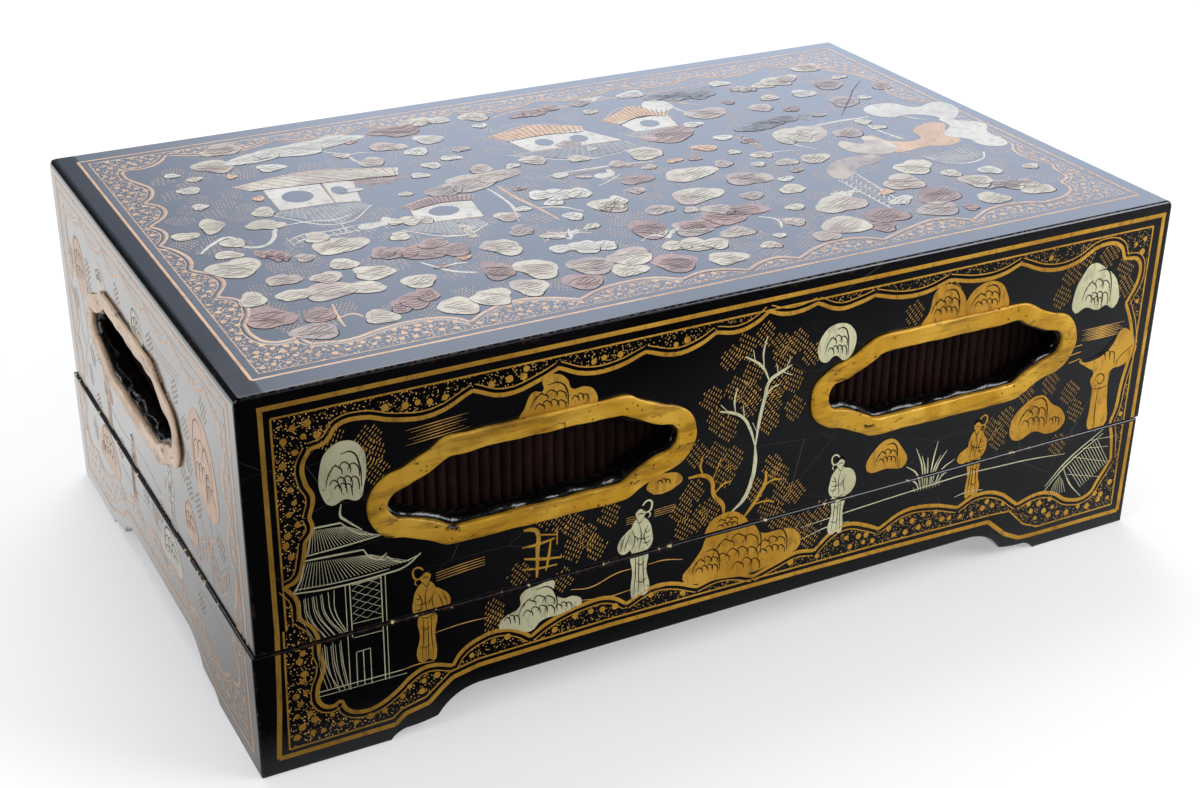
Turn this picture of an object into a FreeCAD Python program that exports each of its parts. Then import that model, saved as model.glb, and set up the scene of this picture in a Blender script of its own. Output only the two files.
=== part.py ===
import FreeCAD, Part
import os

# Lacquered mahjong case in millimetres, +Z up, +X the case's right end, +Y its back.
# A footed base tray carries a chest of drawers, and a deep cover lifts off over the chest.
# The drawers open at the back, through the gap between the cover's two back stiles.
# The origin is on the ground, under the middle of the whole outline.

Vector = FreeCAD.Vector

# Case: the base and the cover have the same outline
case_length = 400.0
case_width = 250.0
base_height = 52.0
cover_height = 101.0
wall_thickness = 9.0
top_thickness = 8.0
edge_radius = 1.5
cover_offset = 1.2  # the cover sits this far to the right of the base

# Bracket feet, each measured from the outer corner along the wall
foot_flat = 50.0
foot_step_run = 6.0
foot_step_rise = 3.5
foot_shelf_run = 13.0
foot_shelf_rise = 1.5
foot_curve_run = 17.0
apron_height = 14.5
foot_step_hollow = 0.6
foot_shelf_swell = 0.4
foot_curve_hollow = 2.4

# Hand windows through the cover and the raised frames round them
window_length = 116.0
window_height = 29.0
window_flat = 68.0
window_end_radius = 6.5
window_shoulder_dip = 0.9
window_spread = 182.0  # between the centres of the two front windows
window_level = 100.0  # height of every window's centre above the ground
end_window_shift = 13.0  # the end windows sit this far behind the middle
frame_width = 7.5
frame_end_radius = 13.5
frame_flat = 73.0
frame_proud = 2.0

# Inside the base
floor_thickness = 6.0
floor_height = 16.0  # underside of the floor board above the ground
ledge_width = 6.0
corner_block_side = 24.0
corner_block_lift = 1.0  # the glue blocks stop this far above the ground

# Chest of drawers
chest_clearance = 2.0  # between the chest and the walls round it
chest_headroom = 2.0  # between the chest and the cover's top board
chest_bottom_thickness = 8.0
chest_top_thickness = 6.0
panel_thickness = 7.0  # front and end panels, over the reeds
reed_pitch = 4.3
reed_depth = 1.2
partition_thickness = 6.0
dust_board_thickness = 3.0
drawer_rows = 3
drawer_columns = 2

# Back of the cover
stile_width = 15.0
rail_clearance = 1.0  # between the top drawers' way out and the back rail

# Drawers
drawer_clearance = 0.5
drawer_end_gap = 2.0  # between a closed drawer and the front panel
drawer_front_thickness = 8.0
drawer_side_thickness = 4.0
drawer_bottom_thickness = 3.0

# Ring pulls
ring_radius = 7.0  # to the middle of the wire
ring_wire_radius = 1.2
ring_rise = 4.5  # the ring's pivot above the middle of the drawer front
plate_radius = 6.5
plate_thickness = 0.8
eye_radius = 2.4  # to the middle of the eye's wire
eye_wire_radius = 0.7
eye_sink = 0.5  # how deep the eye's wire goes into the plate
shank_radius = 1.2
shank_clearance = 0.1
rove_radius = 3.0
rove_thickness = 0.8

# Levels
case_height = base_height + cover_height
cover_ceiling = case_height - top_thickness
floor_top = floor_height + floor_thickness
ledge_top = base_height - chest_bottom_thickness
bay_floor = base_height
chest_top = cover_ceiling - chest_headroom
bay_ceiling = chest_top - chest_top_thickness

# Places across the case
case_y = frame_proud / 2
base_x = -cover_offset
cover_x = 0.0
case_front = case_y - case_width / 2
case_back = case_y + case_width / 2
inner_front = case_front + wall_thickness
inner_back = case_back - wall_thickness

# Chest outline and its bays
chest_left = base_x - case_length / 2 + wall_thickness + chest_clearance
chest_right = base_x + case_length / 2 - wall_thickness - chest_clearance
chest_front = inner_front + chest_clearance
chest_back = inner_back - chest_clearance
bay_left = chest_left + panel_thickness
bay_right = chest_right - panel_thickness
bay_front = chest_front + panel_thickness
partitions_total = (drawer_columns - 1) * partition_thickness
bay_length = (bay_right - bay_left - partitions_total) / drawer_columns
dust_boards_total = (drawer_rows - 1) * dust_board_thickness
bay_height = (bay_ceiling - bay_floor - dust_boards_total) / drawer_rows


def block(x_low, x_high, y_low, y_high, z_low, z_high):
    """Rectangular solid between two values on each axis."""
    corner = Vector(x_low, y_low, z_low)
    return Part.makeBox(x_high - x_low, y_high - y_low, z_high - z_low, corner)


def save(name, *solids):
    """Write one node's solid, or group of solids, as its STEP file."""
    shape = solids[0] if len(solids) == 1 else Part.makeCompound(list(solids))
    shape.exportStep("parts/" + name + ".step")


def face_from(edges):
    """Flat face bounded by a closed loop of edges."""
    return Part.Face(Part.Wire(Part.__sortEdges__(edges)))


def line(start, end):
    return Part.LineSegment(start, end).toShape()


def arc(start, middle, end):
    return Part.Arc(start, middle, end).toShape()


def round_edges(solid, chosen):
    """Round the straight edges whose middle point passes the test."""
    edges = [edge for edge in solid.Edges if chosen(edge.CenterOfGravity)]
    return solid.makeFillet(edge_radius, edges)


def near(a, b):
    return abs(a - b) < 0.001


def bowed(start, end, bow):
    """Arc between two points of the XZ plane, its middle moved bow to the left of the way."""
    way = end - start
    across = Vector(-way.z, 0, way.x).normalize()
    return arc(start, (start + end) / 2 + across * bow, end)


def footed_face(length):
    """Base wall seen from outside, in the XZ plane: a foot at each end and the apron between."""
    step = foot_flat + foot_step_run
    shelf = step + foot_shelf_run
    curve = shelf + foot_curve_run
    edges = []
    for side in (-1, 1):
        outer = side * length / 2
        corner = Vector(outer, 0, 0)
        toe = Vector(outer - side * foot_flat, 0, 0)
        step_top = Vector(outer - side * step, 0, foot_step_rise)
        shelf_end = Vector(outer - side * shelf, 0, foot_step_rise + foot_shelf_rise)
        apron_end = Vector(outer - side * curve, 0, apron_height)
        edges.append(line(Vector(outer, 0, base_height), corner))
        edges.append(line(corner, toe))
        edges.append(bowed(toe, step_top, side * -foot_step_hollow))
        edges.append(bowed(step_top, shelf_end, side * foot_shelf_swell))
        edges.append(bowed(shelf_end, apron_end, side * -foot_curve_hollow))
    apron_half = length / 2 - curve
    edges.append(line(Vector(-apron_half, 0, apron_height), Vector(apron_half, 0, apron_height)))
    edges.append(line(Vector(-length / 2, 0, base_height), Vector(length / 2, 0, base_height)))
    return face_from(edges)


def lozenge_face(length, height, flat, end_radius):
    """Long lozenge in the XZ plane, with round ends and slightly hollow shoulders."""
    end_start = length / 2 - end_radius
    shoulder_x = (flat / 2 + end_start) / 2 - window_shoulder_dip
    shoulder_z = (height / 2 + end_radius) / 2 - window_shoulder_dip
    edges = []
    for side in (-1, 1):
        upper = Vector(side * end_start, 0, end_radius)
        lower = Vector(side * end_start, 0, -end_radius)
        edges.append(arc(upper, Vector(side * length / 2, 0, 0), lower))
        edges.append(line(Vector(-flat / 2, 0, side * height / 2),
                          Vector(flat / 2, 0, side * height / 2)))
        for end in (upper, lower):
            rise = 1 if end.z > 0 else -1
            flat_end = Vector(side * flat / 2, 0, rise * height / 2)
            edges.append(arc(flat_end, Vector(side * shoulder_x, 0, rise * shoulder_z), end))
    return face_from(edges)


def window_face():
    return lozenge_face(window_length, window_height, window_flat, window_end_radius)


def frame_face():
    """Outline of a window frame with the window cut out of it."""
    outer = lozenge_face(window_length + 2 * frame_width, window_height + 2 * frame_width,
                         frame_flat, frame_end_radius)
    return outer.cut(window_face())


def on_long_wall(face, x_centre, y_low, depth, level=0.0):
    """Thicken a face of the XZ plane into a solid standing along X."""
    face.translate(Vector(x_centre, y_low, level))
    return face.extrude(Vector(0, depth, 0))


def on_end_wall(face, x_low, depth, y_centre, level=0.0):
    """Turn a face of the XZ plane to stand along Y and thicken it along X."""
    face.rotate(Vector(0, 0, 0), Vector(0, 0, 1), 90)
    face.translate(Vector(x_low, y_centre, level))
    return face.extrude(Vector(depth, 0, 0))


def base():
    """Four footed walls, the floor board, the chest's ledges and the corner glue blocks."""
    left = base_x - case_length / 2
    right = base_x + case_length / 2
    inner_left = left + wall_thickness
    inner_right = right - wall_thickness

    for name, y_low, outer_y in (("base_front_wall", case_front, case_front),
                                 ("base_back_wall", inner_back, case_back)):
        wall = on_long_wall(footed_face(case_length), base_x, y_low, wall_thickness)
        wall = round_edges(wall, lambda middle: (
            (near(middle.z, base_height) and (near(middle.y, outer_y)
                                              or near(middle.x, left) or near(middle.x, right)))
            or (near(middle.y, outer_y) and (near(middle.x, left) or near(middle.x, right)))))
        save(name, wall)

    between = block(left, right, inner_front, inner_back, 0, base_height)
    for name, x_low, outer_x in (("base_left_wall", left, left),
                                 ("base_right_wall", inner_right, right)):
        wall = on_end_wall(footed_face(case_width), x_low, wall_thickness, case_y)
        wall = wall.common(between)
        wall = round_edges(wall, lambda middle: (
            near(middle.z, base_height) and near(middle.x, outer_x)))
        save(name, wall)

    save("base_floor_board",
         block(inner_left, inner_right, inner_front, inner_back, floor_height, floor_top))

    ledges = [block(inner_left, inner_right, inner_front, inner_front + ledge_width,
                    floor_top, ledge_top),
              block(inner_left, inner_right, inner_back - ledge_width, inner_back,
                    floor_top, ledge_top)]
    for x_low in (inner_left, inner_right - ledge_width):
        ledges.append(block(x_low, x_low + ledge_width, inner_front + ledge_width,
                            inner_back - ledge_width, floor_top, ledge_top))
    save("base_chest_ledges", *ledges)

    blocks = []
    for x_low in (inner_left, inner_right - corner_block_side):
        for y_low in (inner_front, inner_back - corner_block_side):
            blocks.append(block(x_low, x_low + corner_block_side,
                                y_low, y_low + corner_block_side,
                                corner_block_lift, floor_height))
    save("base_corner_blocks", *blocks)


def cover():
    """Top board, front and end walls with their windows, back stiles and back rail."""
    left = cover_x - case_length / 2
    right = cover_x + case_length / 2
    inner_left = left + wall_thickness
    inner_right = right - wall_thickness

    top = block(left, right, case_front, case_back, cover_ceiling, case_height)
    top = round_edges(top, lambda middle: (
        near(middle.z, case_height)
        or near(middle.z, (cover_ceiling + case_height) / 2)))
    save("cover_top_board", top)

    front = block(left, right, case_front, inner_front, base_height, cover_ceiling)
    for side in (-1, 1):
        front = front.cut(on_long_wall(window_face(), cover_x + side * window_spread / 2,
                                       case_front, wall_thickness, window_level))
    front = round_edges(front, lambda middle: (
        (near(middle.z, base_height) and not near(middle.y, inner_front))
        or (near(middle.y, case_front) and (near(middle.x, left) or near(middle.x, right)))))
    save("cover_front_wall", front)

    for name, x_low, outer_x in (("cover_left_wall", left, left),
                                 ("cover_right_wall", inner_right, right)):
        wall = block(x_low, x_low + wall_thickness, inner_front, inner_back,
                     base_height, cover_ceiling)
        wall = wall.cut(on_end_wall(window_face(), x_low, wall_thickness,
                                    case_y + end_window_shift, window_level))
        wall = round_edges(wall, lambda middle: (
            near(middle.z, base_height) and near(middle.x, outer_x)))
        save(name, wall)

    for name, x_low, outer_x in (("cover_back_left_stile", left, left),
                                 ("cover_back_right_stile", right - stile_width, right)):
        stile = block(x_low, x_low + stile_width, inner_back, case_back,
                      base_height, cover_ceiling)
        stile = round_edges(stile, lambda middle: (
            (near(middle.z, base_height) and (near(middle.y, case_back)
                                              or near(middle.x, outer_x)))
            or (near(middle.y, case_back) and near(middle.x, outer_x))))
        save(name, stile)

    save("cover_back_rail",
         block(left + stile_width, right - stile_width, inner_back, case_back,
               bay_ceiling + rail_clearance, cover_ceiling))


def window_frames():
    """Raised frames, one round each hand window."""
    for name, side in (("front_left_window_frame", -1), ("front_right_window_frame", 1)):
        save(name, on_long_wall(frame_face(), cover_x + side * window_spread / 2,
                                case_front - frame_proud, frame_proud, window_level))
    outer_left = cover_x - case_length / 2 - frame_proud
    outer_right = cover_x + case_length / 2
    for name, x_low in (("left_window_frame", outer_left), ("right_window_frame", outer_right)):
        save(name, on_end_wall(frame_face(), x_low, frame_proud,
                               case_y + end_window_shift, window_level))


def reeded_face(length, depth):
    """Board section with half-round reeds: reeds along X, crests at y = 0, back at y = depth."""
    count = round(length / reed_pitch)
    pitch = length / count
    edges = []
    for index in range(count):
        start = -length / 2 + index * pitch
        edges.append(arc(Vector(start, reed_depth, 0), Vector(start + pitch / 2, 0, 0),
                         Vector(start + pitch, reed_depth, 0)))
    edges.append(line(Vector(-length / 2, reed_depth, 0), Vector(-length / 2, depth, 0)))
    edges.append(line(Vector(-length / 2, depth, 0), Vector(length / 2, depth, 0)))
    edges.append(line(Vector(length / 2, depth, 0), Vector(length / 2, reed_depth, 0)))
    return face_from(edges)


def chest():
    """Boards and panels of the chest, with the partition and dust boards that part its bays."""
    save("chest_bottom_board",
         block(chest_left, chest_right, chest_front, chest_back, ledge_top, bay_floor))
    save("chest_top_board",
         block(chest_left, chest_right, chest_front, chest_back, bay_ceiling, chest_top))

    front = reeded_face(chest_right - chest_left, panel_thickness)
    front.translate(Vector((chest_left + chest_right) / 2, chest_front, bay_floor))
    save("chest_front_panel", front.extrude(Vector(0, 0, bay_ceiling - bay_floor)))

    for name, turn, crest in (("chest_left_panel", 1, chest_left),
                              ("chest_right_panel", -1, chest_right)):
        end = reeded_face(bay_ceiling - bay_floor, panel_thickness)
        end.rotate(Vector(0, 0, 0), Vector(0, 1, 0), 90)
        end.rotate(Vector(0, 0, 0), Vector(0, 0, 1), -90 * turn)
        end.translate(Vector(crest, bay_front, (bay_floor + bay_ceiling) / 2))
        save(name, end.extrude(Vector(0, chest_back - bay_front, 0)))

    boards = {row: [] for row in range(1, drawer_rows)}
    partitions = []
    for column in range(drawer_columns):
        start = bay_left + column * (bay_length + partition_thickness)
        if column > 0:
            partitions.append(block(start - partition_thickness, start, bay_front, chest_back,
                                    bay_floor, bay_ceiling))
        for row in range(1, drawer_rows):
            top = bay_floor + row * (bay_height + dust_board_thickness)
            boards[row].append(block(start, start + bay_length, bay_front, chest_back,
                                     top - dust_board_thickness, top))
    save("chest_partition", *partitions)
    for row, solids in boards.items():
        save("dust_boards_level_" + str(row), *solids)


def drawer(number, row, column):
    """One drawer with its brass ring pull, closed in its bay."""
    name = "drawer_" + str(number)
    left = bay_left + column * (bay_length + partition_thickness) + drawer_clearance
    right = left + bay_length - 2 * drawer_clearance
    bottom = bay_floor + row * (bay_height + dust_board_thickness) + drawer_clearance
    top = bottom + bay_height - 2 * drawer_clearance
    face = chest_back
    front_back = face - drawer_front_thickness
    end = bay_front + drawer_end_gap
    middle_x = (left + right) / 2
    pivot_z = (bottom + top) / 2 + ring_rise
    pivot_y = face + plate_thickness + eye_radius + eye_wire_radius - eye_sink

    front = block(left, right, front_back, face, bottom, top)
    hole = Part.makeCylinder(shank_radius + shank_clearance, drawer_front_thickness,
                             Vector(middle_x, front_back, pivot_z), Vector(0, 1, 0))
    save(name + "_front", front.cut(hole))

    save(name + "_sides",
         block(left, left + drawer_side_thickness, end, front_back, bottom, top),
         block(right - drawer_side_thickness, right, end, front_back, bottom, top),
         block(left + drawer_side_thickness, right - drawer_side_thickness,
               end, end + drawer_side_thickness, bottom, top))
    save(name + "_bottom",
         block(left + drawer_side_thickness, right - drawer_side_thickness,
               end + drawer_side_thickness, front_back,
               bottom, bottom + drawer_bottom_thickness))

    along_y = Vector(0, 1, 0)
    plate = Part.makeCylinder(plate_radius, plate_thickness,
                              Vector(middle_x, face, pivot_z), along_y)
    eye = Part.makeTorus(eye_radius, eye_wire_radius,
                         Vector(middle_x, pivot_y, pivot_z), Vector(1, 0, 0))
    behind_plate = block(middle_x - plate_radius, middle_x + plate_radius,
                         front_back - plate_radius, face,
                         pivot_z - plate_radius, pivot_z + plate_radius)
    shank = Part.makeCylinder(shank_radius, drawer_front_thickness,
                              Vector(middle_x, front_back, pivot_z), along_y)
    rove = Part.makeCylinder(rove_radius, rove_thickness,
                             Vector(middle_x, front_back - rove_thickness, pivot_z), along_y)
    save(name + "_pull_plate", plate.fuse([eye.cut(behind_plate), shank, rove]))

    save(name + "_ring",
         Part.makeTorus(ring_radius, ring_wire_radius,
                        Vector(middle_x, pivot_y, pivot_z - ring_radius), along_y))


os.makedirs("parts", exist_ok=True)
base()
cover()
window_frames()
chest()
for row in range(drawer_rows):
    for column in range(drawer_columns):
        drawer(row * drawer_columns + column + 1, row, column)
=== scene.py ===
import math
import random

import bpy
from mathutils import Matrix, Vector, noise


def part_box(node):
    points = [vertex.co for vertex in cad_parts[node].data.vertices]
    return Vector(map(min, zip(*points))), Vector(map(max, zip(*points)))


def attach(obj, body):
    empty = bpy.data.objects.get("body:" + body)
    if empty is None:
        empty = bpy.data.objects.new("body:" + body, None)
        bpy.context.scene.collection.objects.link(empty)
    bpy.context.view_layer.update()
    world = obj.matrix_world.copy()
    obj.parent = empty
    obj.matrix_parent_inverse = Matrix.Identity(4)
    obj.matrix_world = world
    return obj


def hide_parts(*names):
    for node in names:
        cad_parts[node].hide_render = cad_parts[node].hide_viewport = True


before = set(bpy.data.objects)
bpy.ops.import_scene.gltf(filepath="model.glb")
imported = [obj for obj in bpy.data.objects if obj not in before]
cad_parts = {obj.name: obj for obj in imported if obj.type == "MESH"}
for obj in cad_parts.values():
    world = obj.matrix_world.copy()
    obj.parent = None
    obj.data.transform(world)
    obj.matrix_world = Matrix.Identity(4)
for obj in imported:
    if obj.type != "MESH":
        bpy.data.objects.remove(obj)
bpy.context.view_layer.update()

# ---------------------------------------------------------------------------
# Cover: a deep wooden lid. Boards are glued up as one open box, the windows and the
# back portal are sawn out, and ground and black lacquer hide every joint.
# The lacquer is rubbed through to the cream ground along its edges.

MM = 0.001
case_length = 400 * MM
case_width = 250 * MM
case_middle_y = 1 * MM
wall_thickness = 9 * MM
case_height = 153 * MM
base_height = 52 * MM
paint_room = 0.16 * MM  # the top is this much below the full height, and its paint fills it


def new_node(tree, kind, settings, values, output=0):
    """Adds a node with its settings and the values or links of its sockets."""
    node = tree.nodes.new(kind)
    for name, setting in settings.items():
        setattr(node, name, setting)
    for name, value in values.items():
        if isinstance(value, Value):
            tree.links.new(value.socket, node.inputs[name])
        else:
            node.inputs[name].default_value = value
    return Value(tree, node.outputs[output]) if node.outputs else node


class Value:
    """One output of a shader node, written in sums as a number is."""

    def __init__(self, tree, socket):
        self.tree = tree
        self.socket = socket

    def worked(self, operation, first, second=0.0):
        return new_node(self.tree, "ShaderNodeMath", {"operation": operation},
                        {0: first, 1: second})

    def __add__(self, other):
        return self.worked("ADD", self, other)

    def __radd__(self, other):
        return self.worked("ADD", other, self)

    def __sub__(self, other):
        return self.worked("SUBTRACT", self, other)

    def __rsub__(self, other):
        return self.worked("SUBTRACT", other, self)

    def __mul__(self, other):
        return self.worked("MULTIPLY", self, other)

    def __rmul__(self, other):
        return self.worked("MULTIPLY", other, self)

    def __truediv__(self, other):
        return self.worked("DIVIDE", self, other)

    def __abs__(self):
        return self.worked("ABSOLUTE", self)

    def lower(self, other):
        return self.worked("MINIMUM", self, other)

    def higher(self, other):
        return self.worked("MAXIMUM", self, other)

    def between(self, low, high):
        """0 at or under low, 1 at or over high, and an even rise from one to the other."""
        return new_node(self.tree, "ShaderNodeMapRange", {"clamp": True},
                        {"Value": self, "From Min": low, "From Max": high})

    def parts(self):
        """The three numbers of a place."""
        first = new_node(self.tree, "ShaderNodeSeparateXYZ", {}, {0: self})
        return [Value(self.tree, socket) for socket in first.socket.node.outputs]


class Finish:
    """One finish of the case: a material with its main shader and the nodes that feed it."""

    def __init__(self, name, roughness=0.3, specular=0.5):
        self.material = bpy.data.materials.new(name)
        self.material.use_nodes = True
        self.tree = self.material.node_tree
        self.shader = self.tree.nodes["Principled BSDF"]
        self.shader.inputs["Roughness"].default_value = roughness
        self.shader.inputs["Specular IOR Level"].default_value = specular
        self.place = self.node("ShaderNodeTexCoord", {}, {}, "Object")

    def node(self, kind, settings, values, output=0):
        return new_node(self.tree, kind, settings, values, output)

    def stretched(self, x, y, z, turn=(0, 0, 0)):
        """The object's own coordinates, drawn out along an axis where its number is small."""
        return self.node("ShaderNodeMapping", {}, {
            "Vector": self.place, "Scale": (x, y, z), "Rotation": turn})

    def grain(self, scale, detail, place=None, distortion=0.0, roughness=0.5):
        """A cloudy value over the surface, finer at a greater scale."""
        return self.node("ShaderNodeTexNoise", {}, {
            "Vector": place or self.place, "Scale": scale, "Detail": detail,
            "Distortion": distortion, "Roughness": roughness})

    def cells(self, scale, feature, place=None):
        """How far a place is from the middles, or from the edges, of scattered cells."""
        return self.node("ShaderNodeTexVoronoi", {"feature": feature}, {
            "Vector": place or self.place, "Scale": scale})

    def mix(self, factor, first, second):
        """Colours first and second, mixed by the factor."""
        return self.node("ShaderNodeMix", {"data_type": "RGBA"},
                         {0: factor, 6: first, 7: second}, 2)

    def left_part(self):
        """1 at the case's left end, and 0 from a little left of its middle."""
        return 1 - self.place.parts()[0].between(-side_x, -40 * MM)

    def feed(self, socket, value):
        """Gives the main shader a value or a link."""
        if isinstance(value, Value):
            self.tree.links.new(value.socket, self.shader.inputs[socket])
        else:
            self.shader.inputs[socket].default_value = value

    def varnish(self, weight):
        """A clear coat over the finish."""
        self.shader.inputs["Coat Weight"].default_value = weight
        self.shader.inputs["Coat Roughness"].default_value = 0.14

    def bump(self, height, depth, strength):
        """Raises the surface by the height value, depth being its full rise in metres."""
        bumped = self.node("ShaderNodeBump", {}, {
            "Height": height, "Distance": depth, "Strength": strength})
        self.feed("Normal", bumped)


def colour(code):
    """Colour for a shader socket from a six-figure screen code."""
    parts = [int(code[place:place + 2], 16) / 255 for place in (0, 2, 4)]
    return tuple(((p + 0.055) / 1.055) ** 2.4 if p > 0.04 else p / 12.92 for p in parts) + (1.0,)


def edge_distance(finish, low, high):
    """Distance of a point of a box's skin from the nearest edge of the box."""
    spans = []
    for value, start, end in zip(finish.place.parts(), low, high):
        middle = (start + end) / 2
        spans.append((end - start) / 2 - abs(value - middle))
    total = spans[0] + spans[1] + spans[2]
    return total - spans[0].higher(spans[1]).higher(spans[2])


varnish_tint = (0.78, 0.88, 1.0, 1.0)  # the old varnish mirrors a little bluer than the room


def black_lacquer(name, low, high, wear=1.0):
    """Glossy black lacquer over wood: worn along the edges of the box between low and high,
    rubbed pale along its top, and planed a little down, with thin varnish, at its left margin."""
    finish = Finish(name, roughness=0.16)
    finish.shader.inputs["Specular Tint"].default_value = varnish_tint
    finish.varnish(0.8)
    cloud = finish.grain(14, 4)
    wood = finish.grain(60, 5, finish.stretched(0.10, 1.0, 1.6), roughness=0.65)
    rub = finish.grain(420, 3)
    broad = finish.grain(38, 2)
    dust = finish.grain(1500, 1).between(0.74, 0.8)
    scratch = finish.cells(55, "DISTANCE_TO_EDGE",
                           finish.stretched(0.35, 1.0, 1.0, turn=(0.5, 0.3, 0.7)))
    scratched = (1 - scratch.between(0.0, 0.004)) * finish.grain(9, 2).between(0.52, 0.62)
    distance = edge_distance(finish, low, high)
    reach = (rub.between(0.42, 0.72) * 1.5 + broad.between(0.5, 0.75) * 1.0) * MM * wear
    bare = (reach - distance - 1.0 * MM).between(0, 0.25 * MM)
    browned = (reach * 1.6 - distance).between(0, 0.9 * MM)
    across, _, height = finish.place.parts()
    upper = height.between(case_height - 6 * MM, case_height - 5 * MM)
    planed = across.between(low[0], low[0] + 11 * MM)
    margin = 1 - across.between(low[0] + 10 * MM, low[0] + 11 * MM)
    margin = margin * height.between(case_height - 0.8 * MM, case_height - 0.4 * MM)
    rubbed = (0.86 * MM - distance).between(0, 0.05 * MM) * rub.between(0.46, 0.56) * upper
    ground = finish.mix(cloud.between(0.4, 0.62), colour("050506"), colour("0d0c0e"))
    ground = finish.mix(browned * 0.55, ground, colour("3a2415"))
    ground = finish.mix(rubbed * 0.9 + scratched * 0.10 + dust * 0.06, ground, colour("bdb5a6"))
    chip = finish.mix(rub.between(0.35, 0.65), colour("b98d4c"), colour("e3cf9f"))
    finish.feed("Base Color", finish.mix(bare, ground, chip))
    finish.feed("Roughness", cloud * 0.12 + wood * 0.10 + bare * 0.4 + 0.06)
    finish.bump(wood * 0.6 + cloud * 0.8 - bare * 0.5 - scratched * 0.1 + planed * 12,
                0.10 * MM, 0.55)
    finish.feed("Coat Weight", 0.8 - margin * 0.72)
    return finish.material


def show_only(piece):
    """Makes a piece the active one, with nothing else selected."""
    if bpy.context.object and bpy.context.object.mode != "OBJECT":
        bpy.ops.object.mode_set(mode="OBJECT")
    bpy.ops.object.select_all(action="DESELECT")
    piece.select_set(True)
    bpy.context.view_layer.objects.active = piece


def new_box(name, low, high):
    """A cube primitive brought to its size and place, its object left at the origin."""
    bpy.ops.object.select_all(action="DESELECT")
    low = Vector(low)
    high = Vector(high)
    bpy.ops.mesh.primitive_cube_add(size=1, location=(low + high) / 2)
    piece = bpy.context.object
    piece.name = name
    piece.scale = high - low
    bpy.ops.object.transform_apply(location=True, rotation=True, scale=True)
    return piece


def choose(piece, kind, test):
    """Opens edit mode with only those faces or edges selected whose middle and way pass the test."""
    show_only(piece)
    bpy.ops.object.mode_set(mode="EDIT")
    bpy.ops.mesh.select_mode(type=kind)
    bpy.ops.mesh.select_all(action="DESELECT")
    bpy.ops.object.mode_set(mode="OBJECT")
    mesh = piece.data
    if kind == "FACE":
        for face in mesh.polygons:
            face.select = test(face.center, face.normal)
    else:
        for edge in mesh.edges:
            start, end = (mesh.vertices[index].co for index in edge.vertices)
            edge.select = test((start + end) / 2, (end - start).normalized())
    bpy.ops.object.mode_set(mode="EDIT")


def finish_with(piece, kind, **settings):
    """Adds a modifier and applies it."""
    show_only(piece)
    modifier = piece.modifiers.new(kind.lower(), kind)
    for name, value in settings.items():
        setattr(modifier, name, value)
    bpy.ops.object.modifier_apply(modifier=modifier.name)


def smooth(piece, angle=35):
    """Shades a piece smooth, but for edges that turn by more than the angle in degrees."""
    show_only(piece)
    bpy.ops.object.shade_smooth_by_angle(angle=math.radians(angle))
    finish_with(piece, "WEIGHTED_NORMAL", keep_sharp=True, weight=80)


def cut_away(piece, cutter):
    """Takes the cutter's shape out of a piece, and the cutter out of the scene."""
    finish_with(piece, "BOOLEAN", operation="DIFFERENCE", solver="EXACT", object=cutter)
    bpy.data.objects.remove(cutter)


def outline_curve(name, outline, **settings):
    """A curve object with a closed, straight-sided outline in its own flat plane."""
    bpy.ops.object.select_all(action="DESELECT")
    bpy.ops.object.add(type="CURVE")
    piece = bpy.context.object
    piece.name = name
    piece.data.dimensions = "2D"
    for setting, value in settings.items():
        setattr(piece.data, setting, value)
    spline = piece.data.splines.new("POLY")
    spline.points.add(len(outline) - 1)
    for point, (across, up, *rest) in zip(spline.points, outline):
        point.co = (across, up, 0, 1)
        point.radius = rest[0] if rest else 1
    spline.use_cyclic_u = True
    return piece


def as_mesh(piece, matrix):
    """Turns a curve object into a mesh and brings it to its place, its object at the origin."""
    show_only(piece)
    bpy.ops.object.convert(target="MESH")
    piece.matrix_world = matrix
    bpy.ops.object.transform_apply(location=True, rotation=True, scale=True)
    return piece


def facing(right, up, origin):
    """Matrix from a flat drawing to a wall: its two ways and the point where it starts."""
    right = Vector(right)
    up = Vector(up)
    matrix = Matrix((right, up, right.cross(up))).transposed().to_4x4()
    matrix.translation = origin
    return matrix


def lozenge(length, height, flat, end_radius, dip):
    """Points of the long lozenge of the windows: flats, slightly hollow shoulders, round ends."""
    steps = 7
    end = length / 2 - end_radius
    shoulder = []
    for step in range(steps + 1):
        part = step / steps
        hollow = 4 * dip * part * (1 - part)
        shoulder.append((flat / 2 + (end - flat / 2) * part - hollow,
                         height / 2 + (end_radius - height / 2) * part - hollow))
    turns = [math.pi / 2 * (1 - step / steps) for step in range(1, 2 * steps)]
    half = shoulder + [(end + end_radius * math.cos(turn), end_radius * math.sin(turn))
                       for turn in turns]
    half += [(across, -up) for across, up in reversed(shoulder)]
    half += [(flat / 2 * (1 - step / steps), -height / 2) for step in range(1, 2 * steps)]
    return half + [(-across, -up) for across, up in half]


window_level = 100 * MM
window_spread = 182 * MM
end_window_y = 14 * MM
front_y = case_middle_y - case_width / 2
back_y = case_middle_y + case_width / 2
side_x = case_length / 2

windows = {
    "front_left": facing((1, 0, 0), (0, 0, 1), (-window_spread / 2, front_y, window_level)),
    "front_right": facing((1, 0, 0), (0, 0, 1), (window_spread / 2, front_y, window_level)),
    "left": facing((0, -1, 0), (0, 0, 1), (-side_x, end_window_y, window_level)),
    "right": facing((0, 1, 0), (0, 0, 1), (side_x, end_window_y, window_level)),
}

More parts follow.
